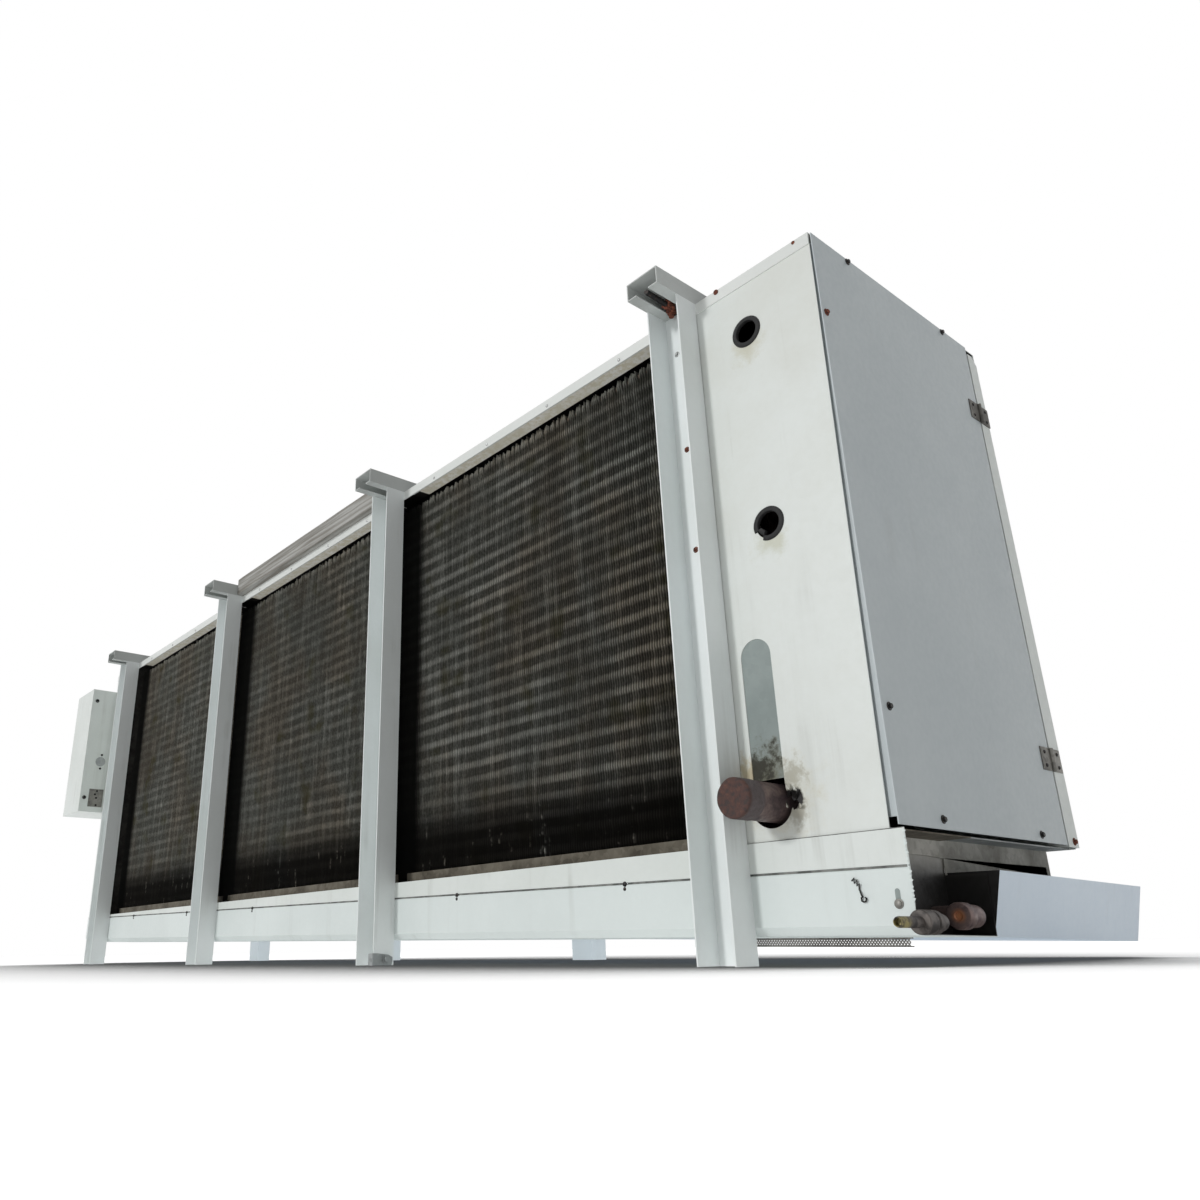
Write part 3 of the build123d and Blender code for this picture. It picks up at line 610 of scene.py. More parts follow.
def finish_piece(shape, name, material, body="casing", stands_for=(), crease=35):
    """Turns a bmesh into a piece of the machine."""
    bmesh.ops.recalc_face_normals(shape, faces=shape.faces)
    mesh = bpy.data.meshes.new(name)
    shape.to_mesh(mesh)
    shape.free()
    mesh.shade_smooth()
    mesh.set_sharp_from_angle(angle=radians(crease))
    mesh.materials.append(material)
    piece = in_scene(name, mesh)
    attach(piece, body)
    if stands_for:
        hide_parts(*stands_for)
    print(name, len(mesh.polygons), "faces")


def turned(profile, sides=20):
    """A shape turned round z from (radius, height) pairs in millimetres."""
    shape = bmesh.new()
    verts = [shape.verts.new((r / 1000, 0, h / 1000)) for r, h in profile]
    edges = [shape.edges.new(pair) for pair in zip(verts, verts[1:])]
    bmesh.ops.spin(shape, geom=verts + edges, cent=(0, 0, 0), axis=(0, 0, 1), angle=2 * pi,
                   steps=sides, use_merge=True)
    bmesh.ops.remove_doubles(shape, verts=shape.verts, dist=1e-6)
    return shape


def mould(shape):
    """Keeps a bmesh as a mesh that can be stamped many times."""
    mesh = bpy.data.meshes.new("mould")
    shape.to_mesh(mesh)
    shape.free()
    return mesh


def stamp(shape, mesh, where, facing=(0, 0, 1), spin=0.0, size=1.0):
    """Adds a copy of a mould whose z axis points in a direction."""
    known = len(shape.verts)
    shape.from_mesh(mesh)
    shape.verts.ensure_lookup_table()
    aim = Vector(facing).to_track_quat("Z", "Y").to_matrix().to_4x4()
    matrix = Matrix.Translation(where) @ aim @ Matrix.Rotation(spin, 4, "Z") @ Matrix.Scale(size, 4)
    bmesh.ops.transform(shape, matrix=matrix, verts=shape.verts[known:])


def hardware(name, finish, stamps, body="casing"):
    """A piece of screws and the like; each stamp is a mould, its x, y and z, and how it is turned."""
    shape = bmesh.new()
    for mesh, x, y, z, *turning in stamps:
        stamp(shape, mesh, place(x, y, z), *turning)
    finish_piece(shape, name, finish, body)


def flat(shape, points):
    """Adds a face through places of the drawing."""
    shape.faces.new([shape.verts.new(place(*point)) for point in points])


def roughen(shape, depth, scale):
    """Moves every vertex by a noise, at most depth metres."""
    for vert in shape.verts:
        vert.co += vert.co.normalized() * depth * noise.noise(vert.co * scale)


def pipe(shape, points, radius, sides=8, closed=False):
    """A round wire or tube along points, with its radius in millimetres."""
    count = len(points)
    rings = []
    side = None
    for k, point in enumerate(points):
        before = points[k - 1] if k or closed else point
        after = points[(k + 1) % count] if k + 1 < count or closed else point
        along = (after - before).normalized()
        if side is None:
            side = along.orthogonal().normalized()
        side = (side - along * side.dot(along)).normalized()
        other = along.cross(side)
        rings.append([shape.verts.new(point + (side * cos(a) + other * sin(a)) * radius / 1000)
                      for a in (2 * pi * i / sides for i in range(sides))])
    pairs = list(zip(rings, rings[1:])) + ([(rings[-1], rings[0])] if closed else [])
    for first, second in pairs:
        for i in range(sides):
            j = (i + 1) % sides
            shape.faces.new((first[i], first[j], second[j], second[i]))
    if not closed:
        shape.faces.new(rings[0])
        shape.faces.new(rings[-1])


def bend(start, corner, end, reach, steps=8):
    """Points from start to end with a round bend of that reach at the corner."""
    into = (corner - start).normalized()
    out = (end - corner).normalized()
    centre = corner - into * reach + out * reach
    arc = [centre - out * (reach * cos(a)) + into * (reach * sin(a))
           for a in (pi / 2 * k / steps for k in range(steps + 1))]
    return [start, *arc, end]


# %% [markdown]
# ### Coil fins
#
# The coil has one fin every 7.27 mm. Each is a thin sheet with a ripple that turns over every half tube
# row, which gives the fine slanted texture of the coil face. At the top, knocks have pushed
# neighbouring fins together into small clumps, so their ends look like the teeth of a worn saw.

# %% Coil fins
fin_pitch = 7.27
coil_left, coil_right = -3651.5, -319.5
fin_bottom, fin_top, bent_end = 199.0, 1283.0, 42
fin_count = int((coil_right - coil_left) / fin_pitch)
chance = Random(7)
lean = [0.0] * fin_count
short = [0.0] * fin_count
k = 0
while k < fin_count:
    clump = chance.choice((2, 3, 3, 4, 5))
    middle = k + (clump - 1) / 2
    for i in range(k, min(k + clump, fin_count)):
        lean[i] = (middle - i) * fin_pitch * chance.uniform(0.3, 0.75)
        short[i] = chance.uniform(0, 12)
    k += clump

half_row = row_pitch / 2
steps = [fin_bottom + half_row * i for i in range(int((fin_top - fin_bottom) / half_row) + 1)]
depths = (38.5, 44.0, 90.0, 235.0)
for bay in range(3):
    shape = bmesh.new()
    for fin in range(bay * fin_count // 3, (bay + 1) * fin_count // 3):
        x = coil_left + fin_pitch * (fin + 0.5)
        wobble = chance.uniform(-0.5, 0.5)
        grid = []
        for i, z in enumerate([*steps, fin_top - short[fin]]):
            ripple = (1.1 if i % 2 else -1.1) + wobble
            push = lean[fin] * max(0.0, (z - fin_top + bent_end) / bent_end) ** 1.5
            grid.append([shape.verts.new(place(x + ripple + push * (1 - (y - depths[0]) / 400), y, z))
                         for y in depths])
        for lower, upper in zip(grid, grid[1:]):
            for j in range(len(depths) - 1):
                shape.faces.new((lower[j], lower[j + 1], upper[j + 1], upper[j]))
    bmesh.ops.solidify(shape, geom=shape.faces[:], thickness=0.0005)
    finish_piece(shape, "coil_fins_bay_%d" % (bay + 1), fin_metal, stands_for=["coil_fins"])
print(fin_count, "fins")

# %% [markdown]
# Between the fins, the tubes of the front bank show as faint bars, one row every 38.1 mm. At both ends
# of the block, return bends join the tubes in pairs outside the tube sheets.

# %% Tubes
tube_rows = [238.6 + row_pitch * k for k in range(28)]
shape = bmesh.new()
for height in tube_rows:
    pipe(shape, [place(coil_left, 55, height), place(coil_right, 55, height)], 8.0, sides=10)
finish_piece(shape, "coil_tubes", tube_metal, crease=50)

shape = bmesh.new()
for sheet_x, out in ((right_sheet, 1), (left_sheet, -1)):
    for bank in range(6):
        y = 54.5 + 33.0 * bank
        for k in range(0, 28, 2):
            first, second = tube_rows[k], tube_rows[k + 1]
            if bank % 2:
                first, second = tube_rows[k] + row_pitch, tube_rows[min(k + 2, 27)]
            middle = (first + second) / 2
            if second > first:
                arc = [place(sheet_x + out * (14 + half_row * sin(a)), y, middle - half_row * cos(a))
                       for a in (pi * i / 8 for i in range(9))]
                pipe(shape, [place(sheet_x, y, first), *arc, place(sheet_x, y, second)], 7.9, sides=8)
finish_piece(shape, "return_bends", dull_copper, crease=50)

# %% [markdown]
# ### Pipes at the right end
#
# The capped suction stub comes out of the round hole low in the front panel. Below, two smaller stubs
# leave the coil pan's open end and turn to the front: one with a copper cap, one with a valve body and
# a thin nipple.

# %% Suction cap
shape = turned([(33.6, 42), (34.4, 41.4), (34.4, 3.5), (32.8, 0.9), (30.0, 0), (24.0, 0.9), (10, 1.4),
                (0, 1.5)], sides=40)
bmesh.ops.subdivide_edges(shape, edges=shape.edges[:], cuts=2, use_grid_fill=True)
roughen(shape, 0.0009, 70)
on_stub = Matrix.Translation(place(-220, -102, 262)) @ Matrix.Rotation(-pi / 2, 4, "X")
bmesh.ops.transform(shape, matrix=on_stub, verts=shape.verts)
finish_piece(shape, "suction_cap_crust", cap_oxide, stands_for=["suction_cap"])

# %% Pan stubs
def in_pan(x, y, drop):
    """A place drawn from the coil pan's sloping right-hand rim."""
    along, across = cos(pan_slope), sin(pan_slope)
    return place(x * along - drop * across, y, pan_rim - x * across - drop * along)


def stub(points, radius, sides, end, end_place):
    """A tube out of the pan that bends to the front, with a turned end of its own."""
    shape = bmesh.new()
    pipe(shape, bend(*[in_pan(*point) for point in points], 0.026), radius, sides=sides)
    stamp(shape, mould(end), in_pan(*end_place), back)
    return shape


cap = [(17.6, 22), (19.9, 21.6), (20.6, 20.5), (20.6, 2.2), (19.4, 0.4), (17, 0), (7, 0.3), (5.6, 2.6),
       (0, 3.2)]
shape = stub([(15, 128, 68), (15, 190, 68), (-260, 190, 68)], 17.5, 28, turned(cap, 32), (15, 121, 68))
finish_piece(shape, "hot_gas_stub_tube", dull_copper, stands_for=["hot_gas_stub"])

valve = [(12.7, 42), (16, 41.6), (17.5, 40.2), (17.5, 30), (15.2, 29), (15.2, 25), (17.5, 24), (17.5, 2),
         (16, 0.4), (12, 0), (8.3, 0), (7.9, -1.5), (7.9, -56), (7.2, -59.2), (5.6, -60), (5.2, -50),
         (0, -48)]
shape = stub([(30.8, 4, 78), (30.8, 52, 78), (-260, 52, 78)], 12.7, 24, turned(valve, 28), (30.8, -26, 78))
finish_piece(shape, "liquid_line_stub_tube", dull_brass, stands_for=["liquid_line_stub"])

# %% [markdown]
# ### Grommets
#
# The two rubber grommets in the front panel have a rounded rim. The lower one has a bite out of its
# lower left.

# %% Grommets
rim = [(23.0, -4.6), (23.0, 1.2), (23.8, 2.6), (26, 3.4), (29, 3.2), (32, 2.2), (33, 1.0), (33, 0.0),
       (28, 0.0), (28, -4.6), (23.0, -4.6)]
shape = bmesh.new()
rubber_ring = mould(turned(rim, 40))
for height in (1181, 764):
    stamp(shape, rubber_ring, place(-160, 2, height), front)
for vert in shape.verts:
    notch = vert.co - place(-184, 0, 743)
    notch.y = 0
    if notch.length < 0.011:
        vert.co += Vector((0.006, 0, 0.006))
finish_piece(shape, "rubber_grommets", rubber, stands_for=["grommets"])

# %% [markdown]
# ### Screws and bolts
#
# Four moulds cover nearly all of them: a hexagon-washer screw, a small pan-head screw, a heavier
# hexagon bolt and a nut. Each piece is then a list of stamps. Bright screws hold the lip, dark clips
# sit in pairs in the groove along the pan, and a few screws have rusted.

# %% Moulds
def headed(washer, head):
    """A mould of a round washer with a six-sided head on it."""
    shape = turned(washer, 24)
    stamp(shape, mould(turned(head, 6)), Vector())
    return mould(shape)


hex_screw = headed([(7.2, 0), (7.2, 0.9), (4.6, 1.4)], [(4.6, 1.2), (4.6, 4.6), (3.9, 5.3), (0, 5.3)])
big_bolt = headed([(11, 0), (11, 1.8), (8.6, 2.0)], [(8.2, 1.8), (8.2, 7.6), (7.2, 8.6), (0, 8.6)])
pan_screw = mould(turned([(4.6, 0), (4.6, 0.7), (4.0, 2.0), (2.6, 2.8), (1.1, 2.9), (0.8, 2.0),
                          (0, 1.8)], 18))
nut = mould(turned([(4.6, 0), (8.0, 0), (9.2, 0.8), (9.2, 6.6), (8.0, 7.4), (4.6, 7.4), (4.6, 0)], 6))

# %% Screws on the casing
lip_height = 1298
lip_screws = (-502, -750, -991, -1234, -1596, -1841, -2100, -2350, -2700, -2950, -3200, -3450)
rim_screws = (-568, -1128, -1720, -2280, -2840, -3400)
hardware("lip_screws", bright_zinc,
         [(pan_screw, x, 0, lip_height, front, x, 0.9) for x in lip_screws]
         + [(pan_screw, x, 2, pan_rim - x * pan_slope + 2.5, front, 0, 0.45) for x in rim_screws]
         + [(hex_screw, -332, -3, 1219, front, 0, 0.85)])
hardware("groove_clips", black_steel, [
    (pan_screw, x - aside, 0.5, pan_rim - x * pan_slope + height, front, 0, size)
    for x in (-1120, -573, -3314, -2763, -2221) for aside, height, size in ((0, 2, 1.1), (1, -7, 0.8))])
hardware("rusty_screws", rusty, [
    (pan_screw, -220, 0, 1311, front, 0, 1.25), (pan_screw, -32, 0, 1311, front, 0, 0.8),
    (hex_screw, -328, -3, 989, front, 989, 0.85), (hex_screw, -328, -3, 767, front, 767, 0.85),
    (hex_screw, 7, 636, 211, outward)])

# %% Screws on the door
door_screws = ((123, 1303), (494, 1303), (23, 389), (138, 219), (496, 216))
hardware("door_screws", black_steel, [(hex_screw, 7, y, z, outward, y) for y, z in door_screws],
         body="end_door")
hardware("rusty_door_screw", rusty, [(hex_screw, 7, 14, 1134, outward)], body="end_door")

# %% [markdown]
# ### Hardware in the hanger and on a foot
#
# A length of threaded rod with two rusty nuts still lies in the open slot of the right-hand hanger. The
# thread is a profile of small ridges, turned like the screws. At the foot of the second post, a small
# zinc angle is bolted to the flange.

# %% Hanger rod
ridges = [point for k in range(40) for point in ((5.9, 2 * k), (5.1, 2 * k + 1))]
thread = mould(turned([(0, 0), *ridges, (5.9, 80), (0, 80)], 12))
hardware("hanger_rod", black_steel, [(thread, -321, -101, 1325.5, (-0.03, 1, 0))])

shape = bmesh.new()
for x, y, z, facing, size in ((-322, -40, 1325, (-0.1, 1, 0.1), 1.35),
                              (-325, -27, 1324, (0.25, 1, -0.2), 1.4),
                              (-327, -17, 1321, (0.1, 0.3, -1), 1.2)):
    stamp(shape, nut, place(x, y, z), facing=facing, spin=y, size=size)
stamp(shape, mould(turned([(0, 0), (6, 0.4), (6.4, 2), (6.4, 18), (0, 18)], 12)), place(-327, -17, 1304))
roughen(shape, 0.0006, 300)
finish_piece(shape, "hanger_nuts", rusty)

# %% Foot angle
shape = bmesh.new()
outline = [(-62, 0), (-6, 0), (-3, 8), (-3, 19), (-16, 25), (-48, 28.5), (-62, 28.5)]
flat(shape, [(-1387.7, y, z) for y, z in outline])
flat(shape, [(x, -61.2, z) for x, z in ((-1386, 0), (-1386, 28.5), (-1408, 28), (-1408, 0))])
bmesh.ops.recalc_face_normals(shape, faces=shape.faces)
bmesh.ops.solidify(shape, geom=shape.faces[:], thickness=0.002)
hole = turned([(3.0, 0), (4.2, 0), (4.2, 0.6), (3.0, 0.6), (3.0, 0)], 16)
stamp(shape, mould(hole), place(-1396, -63.2, 13.3), front)
stamp(shape, big_bolt, place(-1385.7, -24, 14.5), outward, size=0.9)
finish_piece(shape, "foot_angle", galvanised)

# %% [markdown]
# ### Small things on the pan and the front panel
#
# A hook of crumpled wire hangs on the pan near its open end, next to a slotted screw at the foot of a
# pressed keyhole. The end of the skirt is chipped, and the torn corner of the pipe hole still has
# slivers of sheet that curl outwards. Wires are pipes along a few points; chips and slivers are
# single faces given a thickness.

# %% Wire hook
shape = bmesh.new()
crumple = [(-84, 125), (-79, 129), (-80, 121), (-74, 126), (-76, 117), (-71, 120), (-73, 112), (-70, 104),
           (-69, 100)]
ring = [(-67 + 4.2 * sin(a), 97 - 4.2 * cos(a)) for a in (pi + 5.4 * k / 10 for k in range(11))]
pipe(shape, [place(x, -2.2 - 1.4 * (k % 2), z) for k, (x, z) in enumerate(crumple + ring)], 1.25, sides=6)
finish_piece(shape, "wire_hook", black_steel)

# %% Keyhole and slotted screw
shape = bmesh.new()
round_ends = [(-12 + 4.2 * cos(a), (106 if sin(a) > 0 else 92) + 4.2 * sin(a))
              for a in (pi * k / 8 + 0.01 for k in range(16))]
flat(shape, [(x, -0.4, z) for x, z in round_ends])
bmesh.ops.inset_region(shape, faces=shape.faces[:], thickness=0.0012, depth=0.0)
finish_piece(shape, "keyhole", cover_sheet)
slotted = mould(turned([(7.4, 0), (7.4, 0.8), (6.8, 1.2), (5.6, 1.2), (5.2, 3.0), (3.4, 4.0), (0, 4.2)], 20))
hardware("slotted_screw", hinge_zinc, [(slotted, -12, -0.3, 88, front)])

# %% Chips and slivers
chance = Random(19)
shape = bmesh.new()
for k in range(16):
    z = 192 - 6.6 * k + chance.uniform(-2, 2)
    reach = chance.uniform(1.0, 3.6)
    edge = [(10.5, z + chance.uniform(2, 4.5)), (13 + reach, z + chance.uniform(-1, 1.5)),
            (12.6 + reach / 2, z - chance.uniform(1, 3)), (10.5, z - chance.uniform(2, 4))]
    flat(shape, [(x, -1.0 - chance.uniform(0, 0.6), z) for x, z in edge])
bmesh.ops.recalc_face_normals(shape, faces=shape.faces)
bmesh.ops.solidify(shape, geom=shape.faces[:], thickness=0.0006)
finish_piece(shape, "chipped_edge", pan_paint)

shape = bmesh.new()
for points in (((-184, 0, 268), (-180, -8, 292), (-175, -10, 288), (-177, 0, 268)),
               ((-174, 0, 266), (-164, -9, 282), (-160, -8, 276), (-168, 0, 262)),
               ((-188, 0, 252), (-184, -7, 261), (-181, -6, 257), (-185, 0, 250)),
               ((-166, 0, 250), (-157, -7, 254), (-156, -5, 247), (-165, 0, 246))):
    flat(shape, points)
bmesh.ops.subdivide_edges(shape, edges=shape.edges[:], cuts=2, use_grid_fill=True)
for vert in shape.verts:
    vert.co += Vector((1, 1, 1)) * 0.0012 * noise.noise(vert.co * 160)
bmesh.ops.solidify(shape, geom=shape.faces[:], thickness=0.0007)
finish_piece(shape, "torn_slivers", front_paint)

# %% [markdown]
# ### Seams and the plate over the tray
#
# Two dark strips paint the shade in two joints: the one along the foot of the service panel, and the
# open groove between skirt and pan that runs the whole length. The plate under the door reaches down
# into the tray behind the coil pan. These are plain strips, each a cube scaled to its size.

# %% Strips
def strip(shape, low, high):
    """Adds a plate between two corners given in drawing coordinates."""
    made = bmesh.ops.create_cube(shape, size=1)["verts"]
    bmesh.ops.scale(shape, vec=[(b - a) / 1000 for a, b in zip(low, high)], verts=made)
    bmesh.ops.translate(shape, vec=place(*[(a + b) / 2 for a, b in zip(low, high)]), verts=made)
    return made


# painted shade: dark grey strips stand in for the shade in the joint and the groove
joint_painted_shade = two_tone("joint_painted_shade", 40.0, 4.0, 0.35, 0.65, shade(84, 86, 84), shade(136, 138, 134), 0.8,
                        depth=0.0003)

shape = bmesh.new()
strip(shape, (-276, -0.25, 197.3), (11, 0.0, 198.5))
groove = strip(shape, (casing_left + 1, 1.5, 140.2), (12, 1.95, 143.6))
for vert in groove:
    vert.co.z -= (vert.co.x - drawing_x) * pan_slope
finish_piece(shape, "joint_shade_lines", joint_painted_shade)

plate_low, plate_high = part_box("sump_plate")
shape = bmesh.new()
strip(shape, ((plate_low.x - drawing_x) * 1000, 241.4, 122), ((plate_high.x - drawing_x) * 1000, 640, 168))
finish_piece(shape, "sump_apron", sump_sheet)

# %% [markdown]
# ### Mesh strip
#
# Under the pan's open end hangs a strip of expanded metal. Two families of slanted wires cross into
# diamonds, between two straight edge wires. The wires are few-sided, because there are hundreds.

# %% Mesh strip
shape = bmesh.new()
diamond, half_height, mesh_left, mesh_y = 5.0, 5.9, -290, 15
strip_foot = 111.2
for k in range(-1, 57):
    for lean_by in (diamond, -diamond):
        for half in (0, 1):
            x = mesh_left + diamond * k + (diamond if lean_by < 0 else 0)
            low, high = strip_foot - half_height * half, strip_foot - half_height * (half + 1)
            start, end = (x, x + lean_by) if not half else (x + lean_by, x)
            if min(start, end) >= mesh_left and max(start, end) <= -6:
                pipe(shape, [in_pan(start, mesh_y, low), in_pan(end, mesh_y, high)], 0.95, sides=4)
for drop in (strip_foot - 2 * half_height, strip_foot):
    pipe(shape, [in_pan(mesh_left, mesh_y, drop), in_pan(-5, mesh_y, drop)], 0.9, sides=6)
finish_piece(shape, "expanded_mesh", hinge_zinc, stands_for=["pan_mesh_strip"])

# %% [markdown]
# ### Board
#
# The board between the two middle hangers starts as a box, gets its arrises rounded with a bevel, and is
# cut finely enough for noise to make its weathered faces uneven. The ends are a little chewed.

# %% Board
board_low, board_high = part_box("spacer_board")
shape = bmesh.new()
bmesh.ops.create_cube(shape, size=1)
bmesh.ops.scale(shape, vec=board_high - board_low - Vector((0.0012, 0.0012, 0.0012)), verts=shape.verts)
board_middle = (board_low + board_high) / 2
bmesh.ops.translate(shape, vec=board_middle, verts=shape.verts)
long_edges = [e for e in shape.edges if abs((e.verts[0].co - e.verts[1].co).x) > 0.5]
bmesh.ops.subdivide_edges(shape, edges=long_edges, cuts=60)
outer = [e for e in shape.edges if len(e.link_faces) == 2 and e.calc_face_angle() > 1.0]
bmesh.ops.bevel(shape, geom=outer, offset=0.003, segments=2, affect="EDGES", profile=0.5, material=-1)
for vert in shape.verts:
    ragged = 0.0012 if min(vert.co.x - board_low.x, board_high.x - vert.co.x) < 0.02 else 0.0004
    side = Vector((0, vert.co.y - board_middle.y, vert.co.z - board_middle.z))
    worn_off = 0.6 + noise.noise(Vector((vert.co.x * 12, vert.co.y * 60, vert.co.z * 60)))
    vert.co -= side.normalized() * ragged * worn_off
finish_piece(shape, "weathered_board", board_wood, stands_for=["spacer_board"], crease=50)

# %% [markdown]
# ### Control box
#
# The cover of the control box wraps round its sides with a lip and is held by two dark screws. Its side
# has a round knock-out between two small screws, and a square plate with screws round it.

# %% Control box details
hardware("control_box_screws", black_steel,
         [(hex_screw, casing_left + 0.8, y, z, outward, 0, 1.2) for y, z in ((-83, 1181), (-86, 724))]
         + [(pan_screw, casing_left + 0.6, y, z, outward, 0, 1.1)
            for y, z in ((-31, 926), (-32, 862), (-32, 757), (-40, 741), (-33, 725), (-31, 692))])
disc = mould(turned([(22, 0), (22, 0.7), (20.5, 0.9), (20, 0.2), (8, 0.2), (7.5, 0.8), (0, 0.9)], 28))
hardware("knock_out", galvanised, [(disc, casing_left + 0.1, -34, 894, outward)])

for name, finish, low, high in (
        ("control_box_plates", hinge_zinc, (casing_left, -67, 684), (casing_left + 1.6, -4, 765)),
        ("control_box_cover_lip", casing_paint, (casing_left, -104, 661), (casing_left + 0.9, -70, 1235))):
    shape = bmesh.new()
    strip(shape, low, high)
    finish_piece(shape, name, finish)

# %% [markdown]
# ### Fans, guards and motors
#
# The fans sit in round orifices at the back. Each blade is a grid swept from root to tip: the chord
# grows, the pitch flattens, and the section is a shallow arc. The guard is a set of round wire rings on
# radial spokes, and the motor a ribbed drum on its shaft.

# %% Fans
bay_centres = [left_sheet + bay_pitch * (k + 0.5) for k in range(3)]
fan_height, fan_back = 756.5, 690.0


def blade_point(span, along):
    """A place on the fan, as (x, y, z) from its middle; span runs root to tip, along the chord."""
    radius = 64 + span * 311
    chord = 150 + span * 60
    pitch_angle = radians(38 - 18 * span)
    rise = 0.4 * chord * along * (1 - along)
    trim = 1 - 0.10 * max(0, span - 0.8) / 0.2 * (2 * along - 1) ** 2
    across = chord * (along - 0.5) * trim
    return Vector((across * cos(pitch_angle) - rise * sin(pitch_angle),
                   across * sin(pitch_angle) + rise * cos(pitch_angle), radius)) / 1000


shape = bmesh.new()
for quarter in range(4):
    rows = [[shape.verts.new(blade_point(i / 12, j / 10)) for j in range(11)] for i in range(13)]
    for lower, upper in zip(rows, rows[1:]):
        for j in range(10):
            shape.faces.new((lower[j], lower[j + 1], upper[j + 1], upper[j]))
    bmesh.ops.rotate(shape, cent=(0, 0, 0), matrix=Matrix.Rotation(pi / 2, 3, "Y"), verts=shape.verts)
bmesh.ops.recalc_face_normals(shape, faces=shape.faces)
bmesh.ops.solidify(shape, geom=shape.faces[:], thickness=0.003)
hub = [(0, -30), (58, -30), (66, -26), (70, -18), (70, 22), (66, 28), (30, 30), (26, 27), (0, 27)]
stamp(shape, mould(turned(hub, 40)), Vector(), back)
fan_mesh = mould(shape)
for k, centre in enumerate(bay_centres):
    shape = bmesh.new()
    shape.from_mesh(fan_mesh)
    bmesh.ops.translate(shape, vec=place(centre, fan_back - 70, fan_height), verts=shape.verts)
    finish_piece(shape, "fan_%d_blades" % (k + 1), blade_metal, stands_for=["fan_%d" % (k + 1)])

# %% Guards
def round_fan(centre, radius, a, back_by):
    """A place at an angle round the axis of a fan, behind its panel."""
    return place(centre + radius * cos(a), fan_back + back_by, fan_height + radius * sin(a))


def wire_ring(shape, centre, radius, wire, turns, sides):
    points = [round_fan(centre, radius, 2 * pi * i / turns, 65.5) for i in range(turns)]
    pipe(shape, points, wire, sides=sides, closed=True)


for k, centre in enumerate(bay_centres):
    shape = bmesh.new()
    for ring in range(13):
        wire_ring(shape, centre, 60 + 27 * ring, 1.6, 64, 6)
    wire_ring(shape, centre, 406, 3.0, 72, 8)
    for i in range(8):
        pipe(shape, [round_fan(centre, r, pi / 4 * i, 62) for r in (58, 405)], 2.4, sides=8)
    for i in range(4):
        foot = [(404, 63), (404, 4), (404, 1.5), (416, 1.5)]
        pipe(shape, [round_fan(centre, r, pi / 2 * (i + 0.5), d) for r, d in foot], 2.4, sides=8)
    finish_piece(shape, "fan_guard_%d_wires" % (k + 1), guard_coat,
                 stands_for=["fan_guard_%d" % (k + 1)])

# %% Motors
drum = [(0, 0), (40, 0), (66, -5), (78, -16), (81, -24)]
for k in range(16):
    drum += [(81, -26 - 10.5 * k), (83, -28 - 10.5 * k), (83, -31 - 10.5 * k), (80, -33 - 10.5 * k)]
drum += [(80, -206), (76, -218), (60, -228), (0, -230)]
motor = mould(turned(drum, 40))
shaft = mould(turned([(0, 12), (11, 12), (11, -1), (0, -1)], 20))
shape = bmesh.new()
for centre in bay_centres:
    for solid in (motor, shaft):
        stamp(shape, solid, place(centre, 578, fan_height), back)
finish_piece(shape, "motor_drums", motor_enamel, stands_for=["fan_motors"])

# %% [markdown]
# ### Sill ends and hinge screws
#
# The sill in front of the fins runs on to each post as a short dark strip. The hinge leaves are held by
# small dark screws, and those on the door swing with it.

# %% Sill ends
shape = bmesh.new()
for bay in range(3):
    left = left_post + bay_pitch * bay + post_width
    strip(shape, (left + 0.05, 36, 198), (left + 44.95, 38, 223))
bmesh.ops.bevel(shape, geom=shape.edges[:], offset=0.0005, segments=1, affect="EDGES", profile=0.5,
                material=-1)
finish_piece(shape, "sill_ends", sill_sheet)

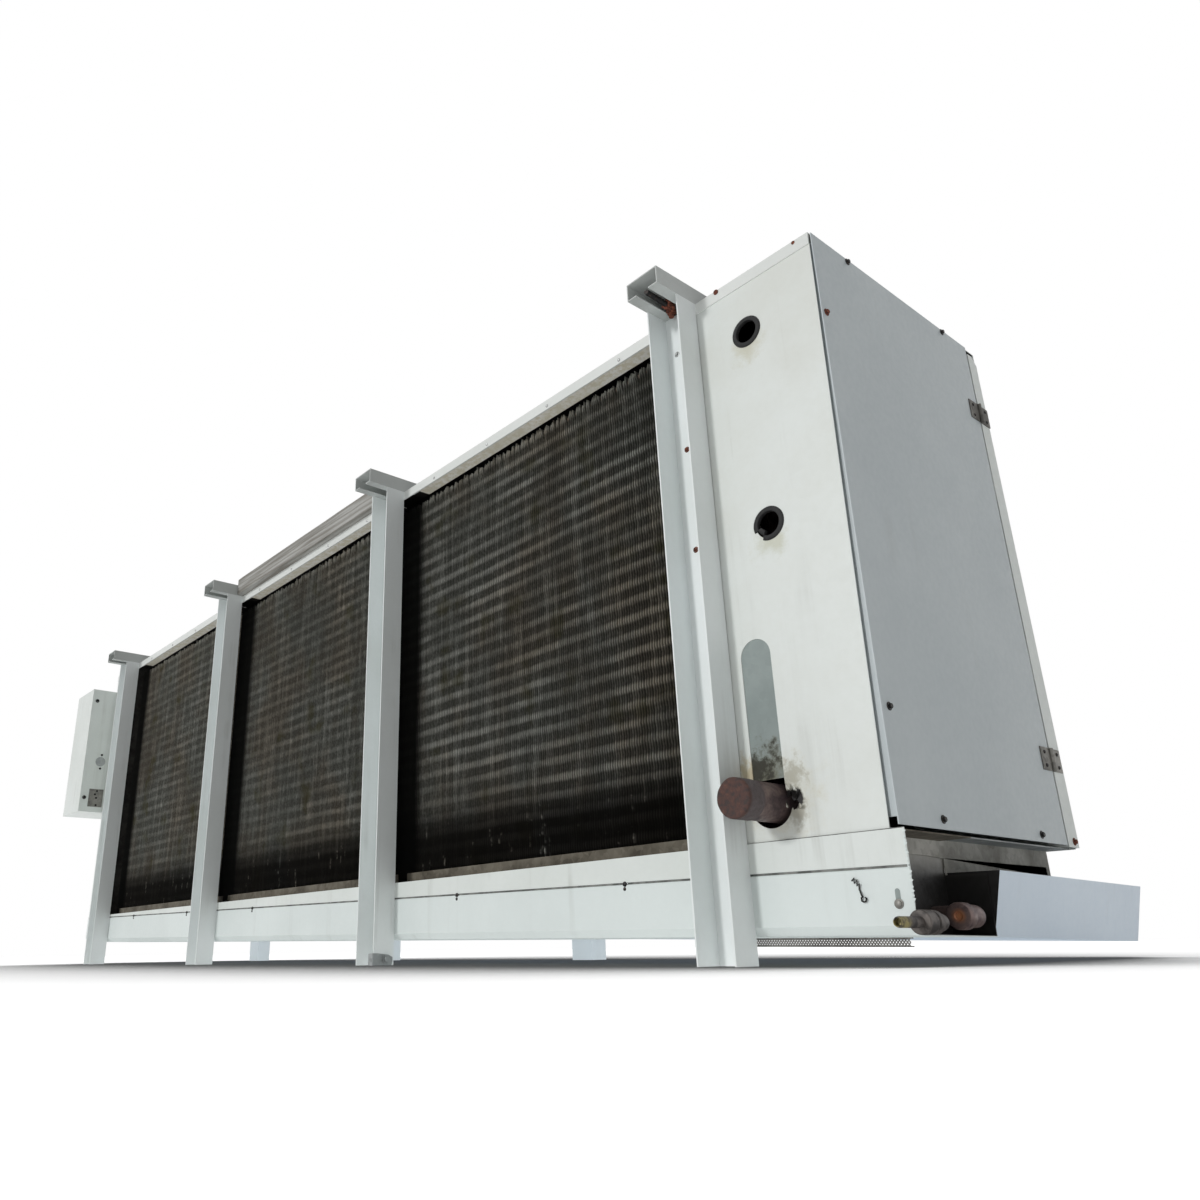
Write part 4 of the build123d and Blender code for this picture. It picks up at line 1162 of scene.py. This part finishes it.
# %% Hinge screws
for body, leaves, y in (("end_door", "door_hinge_leaves", 577), ("casing", "frame_hinge_leaves", 632)):
    hardware(leaves + "_screws", black_steel, [
        (pan_screw, 9, y, height + step, outward, 0, 0.8)
        for height in (365, 1137) for step in (-13, 13)], body=body)

# %% [markdown]
# ## Light, sky and floor
#
# A low, soft sun from the front left lights the coil face, and each post shades the fins to its right;
# the fins' finish widens that shadow with painted shadow.
# Most of the other light comes up from a pale floor, so the undersides are bright and the end door,
# which only gets floor and sky, stays grey. Camera, glossy and transmission rays see floor and sky as
# white. Round the machine, an ambient occlusion node darkens the floor into a soft shadow.

# %% Sun and sky
sun_data = bpy.data.lights.new("key", "SUN")
sun_data.energy = 1.2
sun_data.angle = radians(8)
sun = in_scene("key", sun_data)
sun.rotation_mode = "QUATERNION"
sun.rotation_quaternion = Vector((0.22, 0.92, -0.32)).to_track_quat("-Z", "Y")

world = bpy.data.worlds.new("sky")
world.use_nodes = True
bpy.context.scene.world = world
bench = Bench(world.node_tree)
background = world.node_tree.nodes["Background"]
background.inputs["Color"].default_value = (1, 1, 1, 1)
bench.feed(bench.ramp(bench.background_rays(), 0, 1, 0.22, 1.0), background.inputs["Strength"])

# %% Floor
shape = bmesh.new()
bmesh.ops.create_grid(shape, x_segments=1, y_segments=1, size=30)
floor_mesh = bpy.data.meshes.new("floor")
shape.to_mesh(floor_mesh)
shape.free()
floor = in_scene("floor", floor_mesh)

pale_floor, bench, shader = new_finish("pale_floor", 0.9)
seen = bench.background_rays()
open_sky = bench.node("ShaderNodeAmbientOcclusion", {"Distance": 2.4}, samples=16).outputs["AO"]
shadow = bench.ramp(open_sky, 0.5, 0.98)
bench.feed(bench.mix(seen, (0.6, 0.6, 0.6, 1), bench.mix(shadow, (0.03, 0.03, 0.03, 1), (1, 1, 1, 1))),
           shader.inputs["Base Color"])
shader.inputs["Emission Color"].default_value = (1, 1, 1, 1)
unseen = bench.maths("SUBTRACT", 1.0, seen)
bench.feed(bench.plus(bench.times(seen, bench.times(shadow, 0.8)), bench.times(unseen, 0.55)),
           shader.inputs["Emission Strength"])
floor_mesh.materials.append(pale_floor)

# %% View transform
bpy.context.scene.view_settings.view_transform = "Standard"
